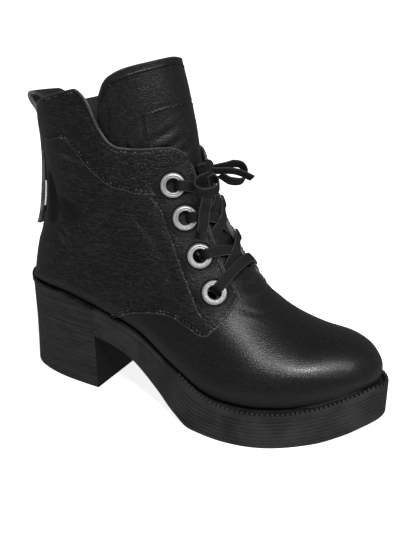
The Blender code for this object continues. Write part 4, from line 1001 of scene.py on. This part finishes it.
strap_points, strap_front, strap_back, strap_rims = closed_skin(
    (strap_middle + strap_half).reshape(-1, 3), (strap_middle - strap_half).reshape(-1, 3),
    grid_faces(*STRAP_GRID))
flesh_side = napped_finish("flesh_side", scale=600.0, dark=grey(0.10), light=grey(0.34), nap=0.2, detail=4.0,
                           Specular_IOR_Level=0.2, Roughness=0.85)
strap_slots = [0] * len(strap_front) + [1] * len(strap_back) + [2] * len(strap_rims)
strap_far = np.full(len(strap_points), FAR_AWAY)
finished_piece("pull_strap", strap_points, strap_front + strap_back + strap_rims,
               [quarter_leather, flesh_side, raw_edge.material], strap_slots,
               dict.fromkeys(("stitch_mm", "edge_mm", "seat_mm", "ring_mm"), strap_far), ("back_strap",),
               "upper_leather")


def dress_solid(node, material):
    """Gives a solid of the frame its finish."""
    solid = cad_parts[node]
    solid.data.materials.clear()
    solid.data.materials.append(material)


strap_nickel = napped_finish("strap_nickel", scale=240.0, dark=grey(0.8), light=grey(0.95), Metallic=0.15,
                             Roughness=0.3)
dress_solid("strap_plate", strap_nickel)


# Insole board: a padded board covered with dark brownish leather. It is laid on the sole inside the boot, and
# the upper is pulled under it.
insole_board = napped_finish("insole_board", scale=500.0, dark=(0.02, 0.019, 0.018, 1.0),
                             light=(0.04, 0.037, 0.034, 1.0), Specular_IOR_Level=0.3, Roughness=0.8)
dress_solid("insole", insole_board)


# Outsole: one thick moulding of black rubber with a welt strip round its top edge, glued under the upper from
# the heel's breast to the toe. Seven ribs run round its wall; the welt has a toothed rim round the forefoot.
SEAT_DROP = 0.7
SOLE_COLUMNS = ("top_x", "low_x", "low_z", "lateral_y", "medial_y", "low_lateral_y", "low_medial_y")
SOLE_SECTIONS = {
    "breast": (30.3, 30.3, 39.5, -33.4, 31.4, -31.4, 29.6),
    "waist_back": (46.0, 45.0, 36.5, -33.6, 30.2, -31.8, 28.6),
    "waist": (64.0, 61.0, 29.3, -34.2, 29.2, -32.6, 27.6),
    "waist_front": (84.0, 79.0, 16.2, -37.5, 30.4, -36.0, 29.0),
    "shank_end": (100.0, 94.0, 6.0, -42.2, 33.8, -41.2, 32.8),
    "ball_back": (115.0, 110.0, 0.0, -46.6, 38.6, -46.2, 38.2),
    "ball": (133.0, 131.0, 0.0, -49.0, 43.4, -49.0, 43.4),
    "joint_back": (150.0, 150.0, 0.0, -46.6, 46.2, -46.6, 46.2),
    "joint": (166.0, 166.0, 0.0, -39.4, 46.9, -39.4, 46.6),
    "toe_box": (182.0, 182.0, 0.0, -26.6, 44.8, -26.6, 44.0),
    "toe_cap": (195.4, 195.6, 1.4, -11.2, 39.8, -11.2, 38.6),
    "toe_round": (204.8, 204.8, 4.0, 0.4, 33.0, 0.6, 31.6),
    "toe_wall": (210.8, 210.6, 6.2, 8.6, 25.6, 8.6, 24.4),
    "toe_front": (212.9, 212.6, 7.3, 12.8, 21.0, 12.6, 20.2),
    "toe_tip": (213.4, 213.0, 7.6, 16.8, 16.8, 16.4, 16.4),
}
SOLE_STEPS = 141
RIBS = 7
RIB_DEPTH = 0.4
RIB_FLAT = 0.84
RIB_FILLET = 0.26
WELT_SHARE = 0.15
WELT_GROOVE = 0.03
WELT_RIM = 1.1
WELT_RIM_WIDTH = 2.8
TOOTH_PITCH = 3.0
TOOTH = (2.1, 2.4, 2.2)
TOOTH_CREASE = 0.55
TOOTH_LIFT = 1.3
TEETH_FROM = (86.0, 98.0)
FEATHER_STEPS = 300
RUBBER_CLOUD_SCALE = 60.0
RUBBER_GRAIN_SCALE = 1300.0
feather = dict(zip(LAST_COLUMNS, along(LAST, np.linspace(HEEL_BACK, 0, FEATHER_STEPS)).T))


def feather_height(x):
    """Height of the edge between upper and sole."""
    return np.interp(x, feather["base_x"], feather["base_z"])


def table_columns(names, sections, steps):
    """Named columns of a table of sections, at even places on a smooth line through its rows."""
    rows = along(np.array(list(sections.values())), np.linspace(0, len(sections) - 1, steps))
    return dict(zip(names, rows.T))


def edge_loop(x, lateral, medial, z):
    """Edge of a block from its lateral end round to its medial end."""
    sides = [np.stack([x, y, z], axis=1) for y in (lateral, medial)]
    return np.concatenate([sides[0], sides[1][-2::-1]])


def plan_normals(outline):
    """Outward unit normals, level with the floor, of an outline that runs from lateral round to medial."""
    run = np.gradient(outline[:, :2], axis=0)
    normals = unit(np.stack([-run[:, 1], run[:, 0], np.zeros(len(run))], axis=1))
    return normals * np.sign(np.sum(normals * (outline - outline.mean(axis=0))))


def walled_block(top, low, profile, lift):
    """Points and faces of a block between two edges, with a stepped wall and closed all round."""
    rows = len(top)
    columns = len(profile)
    share, step = np.array(profile).T[:, None, :, None]
    points = top[:, None] * (1 - share) + low[:, None] * share + plan_normals(top)[:, None] * step
    points[..., 2] += lift
    faces = grid_faces(rows, columns).tolist()
    number = np.arange(rows * columns).reshape(rows, columns)
    for i in range(rows // 2):
        j = rows - 1 - i
        faces.append((number[i, 0], number[i + 1, 0], number[j - 1, 0], number[j, 0]))
        faces.append((number[i, -1], number[j, -1], number[j - 1, -1], number[i + 1, -1]))
    for k in range(columns - 1):
        faces.append((number[0, k], number[-1, k], number[-1, k + 1], number[0, k + 1]))
    return points.reshape(-1, 3), faces


sole = table_columns(SOLE_COLUMNS, SOLE_SECTIONS, SOLE_STEPS)
sole_top = edge_loop(sole["top_x"], sole["lateral_y"], sole["medial_y"],
                     feather_height(sole["top_x"]) - SEAT_DROP)
sole_low = edge_loop(sole["low_x"], sole["low_lateral_y"], sole["low_medial_y"], sole["low_z"].clip(0))
sole_out = plan_normals(sole_top)
first_rib = WELT_SHARE + WELT_GROOVE
rib_pitch = (1.0 - first_rib) / RIBS
# A step of the wall has its share of the height and how far it stands out.
sole_wall = [(0.0, -WELT_RIM_WIDTH - 0.3), (0.0, -WELT_RIM_WIDTH), (0.0, -0.4), (0.015, 0.0),
             (WELT_SHARE - 0.015, 0.0), (WELT_SHARE, -0.3), (WELT_SHARE + WELT_GROOVE / 2, -RIB_DEPTH),
             (0.5, -RIB_DEPTH), (0.985, -RIB_DEPTH), (1.0, -RIB_DEPTH)]
rim_here = smooth_step(*TEETH_FROM, sole_top[:, 0])
rim_lift = rim_here[:, None] * np.array([0.0, WELT_RIM, WELT_RIM, WELT_RIM] + [0.0] * (len(sole_wall) - 4))
rubber = Finish("sole_rubber", Specular_IOR_Level=0.4)
rubber_where = rubber.place()
rubber_cloud = rubber.between(rubber.noise(rubber_where, RUBBER_CLOUD_SCALE), 0.35, 0.65)
rubber.feed("Base Color", rubber.mix(rubber_cloud, grey(0.012, 0.0123), grey(0.021, 0.0215)))
rubber.feed("Roughness", 0.52 + rubber_cloud * 0.14)
rubber.relief(rubber.noise(rubber_where, RUBBER_GRAIN_SCALE, 2.0), 0.10)
finished_piece("platform_sole", *walled_block(sole_top, sole_low, sole_wall, rim_lift), [rubber.material],
               replaced=("outsole",), record_slot="sole_rubber", sharp=40.0)
ribbing = Recipe("sole_ribs", {"Size": "NodeSocketVector"})
rib_line = ribbing.node("GeometryNodeSetCurveNormal", {"mode": "FREE"},
                        {"Curve": ribbing.line(), "Normal": ribbing.outwards()})
rib_block = ribbing.node("GeometryNodeCurvePrimitiveQuadrilateral", {}, {"Width": 1.0, "Height": 1.0})
rib_round = ribbing.node("GeometryNodeFilletCurve", {"mode": "POLY"},
                         {"Curve": rib_block, "Radius": RIB_FILLET, "Count": 3})
ribbing.close(ribbing.node("GeometryNodeCurveToMesh", {},
                           {"Curve": rib_line, "Profile Curve": ribbing.sized(rib_round, "Size"),
                            "Fill Caps": True}))
rib_lines = []
for rib in range(RIBS):
    share = first_rib + (rib + 0.5 * RIB_FLAT) * rib_pitch
    rib_lines.append((sole_top * (1 - share) + sole_low * share - sole_out * RIB_DEPTH, sole_out))
rib_height = RIB_FLAT * rib_pitch * np.linalg.norm(sole_top - sole_low, axis=1).mean()
ribbing.make("sole_ribs", rib_lines, "sole_rubber", Size=(2 * RIB_DEPTH * MM, rib_height * MM, MM),
             Material=rubber.material)
teeth = Recipe("welt_teeth", {"Pitch": "NodeSocketFloat", "Size": "NodeSocketVector"})
tooth_box = teeth.node("GeometryNodeMeshCube", {}, {"Size": teeth.value("Size")}, "Mesh")
teeth.close(teeth.spaced(teeth.node("GeometryNodeSubdivisionSurface", {},
                                    {"Mesh": tooth_box, "Level": 2, "Edge Crease": TOOTH_CREASE})))
tooth_line = sole_top - sole_out * (WELT_RIM_WIDTH / 2) + np.array((0.0, 0.0, TOOTH_LIFT))
toothed = sole_top[:, 0] > TEETH_FROM[1]
teeth.make("welt_teeth", [(tooth_line[toothed], sole_out[toothed])], "sole_rubber", Pitch=TOOTH_PITCH * MM,
           Size=tuple(size * MM for size in TOOTH), Material=rubber.material)


# Heel: a tall block with a stacked look, moulded in hard plastic and screwed on from inside through the
# insole board. A thin rim runs round its top, and fine lines run level round the block.
HEEL_COLUMNS = ("top_x", "top_half", "tread_x", "tread_half")
HEEL_SECTIONS = {
    "breast": (30.0, 33.4, 30.0, 29.2),
    "front": (18.0, 32.6, 18.0, 28.4),
    "middle": (4.0, 31.0, 3.0, 26.8),
    "rear": (-10.0, 28.2, -10.0, 23.9),
    "turn": (-21.0, 23.4, -20.5, 20.0),
    "round": (-28.5, 17.4, -27.5, 16.0),
    "back_wall": (-33.6, 10.0, -32.6, 10.6),
    "back_round": (-35.3, 5.0, -34.9, 5.3),
    "back": (-35.8, 0.0, -35.6, 0.0),
}
# A step of the wall has its share of the height and how far it stands out.
HEEL_WALL = ((0.0, -0.3), (0.008, 0.0), (0.042, 0.0), (0.05, -0.2), (0.065, -0.8), (0.2, -0.86), (0.35, -0.9),
             (0.5, -0.9), (0.65, -0.72), (0.8, -0.42), (0.9, -0.2), (0.95, -0.08), (0.97, 0.0), (0.985, -0.1),
             (1.0, -0.5))
HEEL_STEPS = 97
STACK_LINES = (22.0, 22.0, 700.0)
STACK_FLECKS = (90.0, 90.0, 1100.0)
heel = table_columns(HEEL_COLUMNS, HEEL_SECTIONS, HEEL_STEPS)
heel_top = edge_loop(heel["top_x"], LATERAL * heel["top_half"], MEDIAL * heel["top_half"],
                     feather_height(heel["top_x"]) - SEAT_DROP)
heel_low = edge_loop(heel["tread_x"], LATERAL * heel["tread_half"], MEDIAL * heel["tread_half"],
                     0 * heel["tread_x"])
stack = Finish("heel_block", Specular_IOR_Level=0.42)
stack_where = stack.place()
stack_lines = stack.noise(stack.stretched(stack_where, STACK_LINES), 1.0, 4.0, 0.7)
stack_fleck = stack.noise(stack.stretched(stack_where, STACK_FLECKS), 1.0, 2.0)
stack_mark = stack.between(stack_lines * 0.6 + stack_fleck * 0.4, 0.36, 0.64)
stack.feed("Base Color", stack.mix(stack_mark, grey(0.007, 0.0072), grey(0.019, 0.0195)))
stack.feed("Roughness", 0.42 + stack_mark * 0.14)
stack.relief(stack_mark, 0.12)
# Painted shade: the breast face of the heel is coloured near black, as it looks in shadow.
heel_breast_shade = napped_finish("heel_breast_shade", scale=300.0, dark=grey(0.002), light=grey(0.006),
                            Specular_IOR_Level=0.3, Roughness=0.6)
heel_points, heel_faces = walled_block(heel_top, heel_low, HEEL_WALL, 0.0)
breast_faces = len(HEEL_WALL) - 1
finished_piece("block_heel", heel_points, heel_faces, [stack.material, heel_breast_shade],
               [0] * (len(heel_faces) - breast_faces) + [1] * breast_faces, replaced=("heel",),
               record_slot="heel_block", sharp=40.0)


# Lace: one flat black braid 6.5 mm wide. It lies straight across between the lowest eyelets, then each half
# goes up inside, comes out at the throat's edge, crosses over the tongue and goes down through the next ring.
LACE_WIDTH = 6.5
LACE_THICKNESS = 1.3
LACE_STEPS = 72
LACE_EDGE_STEP = 2 * LACE_STEPS // 3
LACE_ROUND = 18
LACE_CROWN = 3.0
LACE_OVER = 1.35
LACE_OVER_RUN = 9.0
LACE_AT_RIDGE = 0.3
LACE_ON_FACING = 0.35
LACE_IN_HOLE = -3.0
LACE_AT_EDGE = -1.5
LACE_UNDER_EDGE = -2.5
LACE_TUCK_RUN = 8.0
UNDER_EDGE_INSET = 0.06
# Section places where the lateral and the medial strand of a crossing go under the other facing's edge.
LACE_ENDS = {"1": (9.7, 10.0), "2": (9.1, 9.25), "3": (7.95, 8.05)}
BAR_AT_RIDGE = 2.7
OVER_RING = QUARTER_RISE + 0.6 + EYELET_DOME + LACE_THICKNESS / 2
# Millimetres along the lace, and its height over the last there.
RING_EXIT = ((0.0, LACE_IN_HOLE), (1.5, LACE_IN_HOLE + 0.8), (3.4, OVER_RING - 0.9), (5.2, OVER_RING))
BRAID_RIBS = 7.4
BRAID_WEAVE = 5.2
BRAID_SLANT = 3.0


def mileage(path):
    """Length gone along a path at each of its points."""
    return np.concatenate([[0], np.cumsum(np.linalg.norm(np.diff(path, axis=0), axis=1))])


def rounded(wave, size):
    """A round outline drawn out towards a box, at full size."""
    return np.sign(wave) * np.abs(wave) ** (2 / LACE_CROWN) * size / 2


def braid(path, ups, width, thickness):
    """Points, faces and cloth coordinates of a flat braid with round edges along a path."""
    run = np.gradient(path, axis=0)
    across = unit(np.cross(run, ups))
    up = unit(np.cross(across, run))
    angle = np.linspace(0, 2 * math.pi, LACE_ROUND, endpoint=False)
    wide = rounded(np.cos(angle), width)
    high = rounded(np.sin(angle), thickness)
    points = path[:, None] + across[:, None] * wide[None, :, None] + up[:, None] * high[None, :, None]
    number = np.arange(len(path) * LACE_ROUND).reshape(len(path), LACE_ROUND)
    after = np.roll(number, -1, axis=1)
    faces = np.stack([number[:-1], after[:-1], after[1:], number[1:]], axis=-1).reshape(-1, 4).tolist()
    faces.append(tuple(number[0][::-1]))
    faces.append(tuple(number[-1]))
    cloth = np.stack(np.broadcast_arrays(mileage(path)[:, None], wide[None, :]), axis=-1)
    return points.reshape(-1, 3), faces, cloth.reshape(-1, 2)


def lace_path(spots, heights, lift=0.0):
    """Line over the last through (place, turn) spots, and the outward directions there. Its heights come from
    the millimetres gone and the turns; a lift raises it over the ridge."""
    place, turn = along(np.array(spots), np.linspace(0, len(spots) - 1, LACE_STEPS), steady=False).T
    base = last_points(place, turn)
    gone = mileage(base)
    ridge = gone[int(np.argmin(np.abs(turn)))]
    height = curve(heights(gone, turn), gone) + lift * np.exp(-((gone - ridge) / LACE_OVER_RUN) ** 2)
    out = last_normals(place, turn)
    return base + out * height[:, None], out


def join_braids(name, strands, replaced):
    """One piece from several braid strands."""
    points, faces, cloth, start = [], [], [], 0
    for path, ups, width, thickness in strands:
        strand_points, strand_faces, strand_cloth = braid(path, ups, width, thickness)
        points.append(strand_points)
        cloth.append(strand_cloth)
        faces += [tuple(index + start for index in face) for face in strand_faces]
        start += len(strand_points)
    return finished_piece(name, np.concatenate(points), faces, [lace_cloth.material], replaced=replaced,
                          record_slot="lace_braid", uv=np.concatenate(cloth), sharp=70.0)


def strand_heights(gone, turn):
    """Up out of the ring, down to the facing, over the ridge, under the other edge and into its ring."""
    over = slice(LACE_EDGE_STEP)
    ridge = float(np.interp(0.0, -np.sign(turn[0]) * turn[over], gone[over]))
    tuck = gone[LACE_EDGE_STEP]
    return (*RING_EXIT, (8.2, OVER_RING - 0.5), (12.0, QUARTER_RISE + LACE_ON_FACING + 0.4),
            (ridge, LACE_AT_RIDGE), (tuck, LACE_AT_EDGE), (tuck + LACE_TUCK_RUN, LACE_UNDER_EDGE),
            (gone[-1], LACE_IN_HOLE))


def bar_heights(gone, turn):
    """Out of one ring, straight across the ridge and into the other."""
    rise = (*RING_EXIT, (8.2, OVER_RING - 0.4), (14.0, BAR_AT_RIDGE))
    fall = [(gone[-1] - far, height) for far, height in reversed(rise)]
    return (*rise, (gone[-1] / 2, BAR_AT_RIDGE), *fall)


lace_cloth = Finish("lace_braid", Specular_IOR_Level=0.25, Roughness=0.7)
lace_uv = lace_cloth.node("ShaderNodeUVMap", {"uv_map": "cloth"}, {})
lace_across = lace_cloth.axis(lace_uv, "Y")
lace_slope = abs(lace_across)
lace_ribs = (lace_across * BRAID_RIBS).sine()
lace_weave = (lace_cloth.axis(lace_uv, "X") * BRAID_WEAVE + lace_slope * BRAID_SLANT).sine()
lace_height = lace_ribs * 0.5 + lace_weave * 0.5
lace_cloth.relief(lace_height, 0.16)
# Painted highlight: the braid's rounded edges are lighter.
lace_edge_highlight = lace_cloth.between(lace_slope, 2.4, 3.2)
lace_tone = lace_cloth.mix(lace_cloth.between(lace_height, -0.8, 0.9), grey(0.003), grey(0.016, 0.0162))
lace_cloth.feed("Base Color", lace_cloth.mix(lace_edge_highlight * 0.7, lace_tone, grey(0.055)))
labels = list(EYELETS)
for label, ends in LACE_ENDS.items():
    strands = []
    for side, end_place, lift in zip(SIDE_NAMES, ends, (0.0, LACE_OVER)):
        eyelet = np.array((1, side)) * EYELETS[label]
        edge = np.array((end_place, side * (UNDER_EDGE_INSET - float(curve(THROAT_EDGE, end_place)))))
        hidden = np.array((1, -side)) * EYELETS[labels[labels.index(label) + 1]]
        path, out = lace_path((eyelet, (eyelet + edge) / 2, edge, hidden), strand_heights, lift)
        strands.append((path, out, LACE_WIDTH, LACE_THICKNESS))
    join_braids(f"crossing_{label}", strands, (f"lace_cross_{label}",))
bar_spots = [np.array((1, side)) * EYELETS["4"] for side in SIDE_NAMES]
bar_path, bar_out = lace_path((bar_spots[0], np.mean(bar_spots, axis=0), bar_spots[1]), bar_heights)
join_braids("straight_bar", [(bar_path, bar_out, LACE_WIDTH, LACE_THICKNESS)], ("lace_bar",))


# Bow: the two free halves of the lace, tied over the throat. The outer half makes a curled loop and hangs
# down as an end, the inner half makes a flat loop and a short end, and a wrap of braid is the knot.
BOW_WIDTH = 6.6
BOW_STEPS = 110
KNOT_CENTRE = np.array((97.0, -1.5, 153.8))
KNOT_RADII = np.array((3.8, 5.2, 5.2))
KNOT_SINK = 0.4
KNOT_SLANT = 1.6
KNOT_CORE = 1.6
KNOT_CORE_RUN = (0.3, 5.0, -1.0)
KNOT_CORE_OUT = (0.9, 0.0, 0.4)
KNOT_CORE_STEPS = 9
KNOT_STEPS = 65
KNOT_WRAP_WIDTH = 0.8
# Each stretch has the direction across its flat, then its stops.
BOW_LATERAL = {
    "loop": ((0.1, -0.35, 0.93), (
        (100.6, -6.3, 151.2), (99.1, -12.8, 150.8), (98.2, -17.4, 149.2), (100.5, -21.3, 147.5),
        (105.1, -22.8, 146.5), (110.0, -20.9, 146.7), (112.3, -16.1, 148.1), (109.9, -10.9, 150.4),
        (106.4, -9.3, 151.3))),
    "turn": ((0.3, -0.2, 0.7), ((103.2, -11.0, 149.6),)),
    "fall": ((0.6, 0.3, 0.3), ((104.2, -15.6, 146.4),)),
    "end": ((0.75, 0.55, -0.05), (
        (107.2, -19.6, 143.4), (107.4, -21.2, 139.6), (106.0, -20.9, 133.6), (106.4, -22.6, 128.0),
        (105.8, -23.5, 122.4))),
}
BOW_MEDIAL = {
    "loop": ((0.3, -0.55, 0.78), (
        (103.3, 5.2, 149.3), (106.7, 10.0, 145.5), (108.7, 16.6, 143.0), (110.4, 21.8, 142.8),
        (110.9, 24.5, 147.2), (109.0, 21.8, 152.2), (106.4, 16.6, 154.1), (104.5, 9.8, 154.5),
        (99.8, 2.6, 154.0), (98.4, 0.2, 153.3))),
    "end": ((0.3, -0.55, 0.78), (
        (101.1, 1.8, 152.6), (107.1, 7.0, 152.2), (111.6, 9.5, 151.6), (115.8, 12.0, 149.9),
        (120.1, 15.0, 147.1))),
}


def bow_half(name, stretches, replaced):
    """One free half of the lace as a braid, standing for the pieces that it replaces."""
    table = np.array([spot + flat for flat, spots in stretches.values() for spot in spots])
    line = along(table, np.linspace(0, len(table) - 1, BOW_STEPS), steady=False)
    path = line[:, :3]
    ups = np.cross(line[:, 3:], np.gradient(path, axis=0))
    made = join_braids(name, [(path, ups, BOW_WIDTH, LACE_THICKNESS)], replaced)
    tuple(path[0] * MM)
    [tuple(spot) for spot in path * MM]
    return made


knot_angle = np.linspace(0, 2 * math.pi, KNOT_STEPS)
knot_out = np.stack([np.cos(knot_angle), 0 * knot_angle, np.sin(knot_angle)], axis=1)
knot_wrap = knot_out * (KNOT_RADII - KNOT_SINK)
knot_wrap[:, 1] = KNOT_SLANT * np.sin(knot_angle)
knot_core = np.linspace(-1, 1, KNOT_CORE_STEPS)[:, None] * KNOT_CORE_RUN
knot_core_out = np.tile(KNOT_CORE_OUT, (KNOT_CORE_STEPS, 1))
knot_strands = [
    (KNOT_CENTRE + knot_wrap, knot_out, LACE_WIDTH * KNOT_WRAP_WIDTH, LACE_THICKNESS),
    (KNOT_CENTRE + knot_core, knot_core_out, KNOT_CORE * KNOT_RADII[2], KNOT_CORE * KNOT_RADII[0]),
]
knot = join_braids("bow_knot", knot_strands, ("lace_knot",))
bow_half("bow_lateral", BOW_LATERAL, ("lace_loop_lateral", "lace_end_lateral"))
bow_half("bow_medial", BOW_MEDIAL, ("lace_loop_medial", "lace_end_medial"))


# Studio: a white floor that fills the picture and glows a little so that shadows stay pale. Three soft lights
# stand above, from just right of the camera round to the toe's side, and a weak fill comes from all round.
FLOOR_SIZE = 12.0
FLOOR_DROP = 0.0001
FLOOR_GLOW = 0.85
SKY_STRENGTH = 0.15
# A light has its strength, its width as an angle, its azimuth and its elevation.
LIGHTS = {
    "key_light": (1.4, 10.0, 40.0, 49.0),
    "front_light": (0.75, 20.0, 60.0, 46.0),
    "toe_light": (0.6, 24.0, 84.0, 41.0),
}
floor_white = Finish("floor_white", Specular_IOR_Level=0.0, Roughness=1.0, Base_Color=grey(0.92),
                     Emission_Color=grey(1.0), Emission_Strength=FLOOR_GLOW)
bpy.ops.mesh.primitive_plane_add(size=FLOOR_SIZE, location=(0, 0, -FLOOR_DROP))
floor = bpy.context.object
floor.name = "floor"
floor.data.materials.append(floor_white.material)
floor.visible_glossy = False


def aim(made, azimuth, elevation):
    """Turns a light or camera to look down at an elevation from an azimuth, and puts it in the scene."""
    made.rotation_euler = (math.radians(90.0 - elevation), 0.0, math.radians(azimuth))
    bpy.context.scene.collection.objects.link(made)


for light_name, (strength, angle, azimuth, elevation) in LIGHTS.items():
    lamp = bpy.data.lights.new(light_name, "SUN")
    lamp.energy = strength
    lamp.angle = math.radians(angle)
    light = bpy.data.objects.new(light_name, lamp)
    aim(light, azimuth, elevation)
world = bpy.data.worlds.new("studio_fill")
world.use_nodes = True
sky = world.node_tree.nodes["Background"]
sky.inputs["Color"].default_value = grey(1.0)
sky.inputs["Strength"].default_value = SKY_STRENGTH
bpy.context.scene.world = world
bpy.context.scene.view_settings.view_transform = "Standard"


# Camera: the photo's own view, from the outer front and a little above. Its place, turn and lens are those of
# the camera that was fitted to the photo.
CAMERA_SPOT = (0.3395, -0.4655, 0.3023)
CAMERA_AZIMUTH = 28.0
CAMERA_ELEVATION = 22.0
CAMERA_LENS = 60.8
CAMERA_SENSOR = 36.0
lens = bpy.data.cameras.new("photo_camera")
lens.lens = CAMERA_LENS
lens.sensor_fit = "AUTO"
lens.sensor_width = CAMERA_SENSOR
camera = bpy.data.objects.new("photo_camera", lens)
camera.location = CAMERA_SPOT
aim(camera, CAMERA_AZIMUTH, CAMERA_ELEVATION)
bpy.context.scene.camera = camera
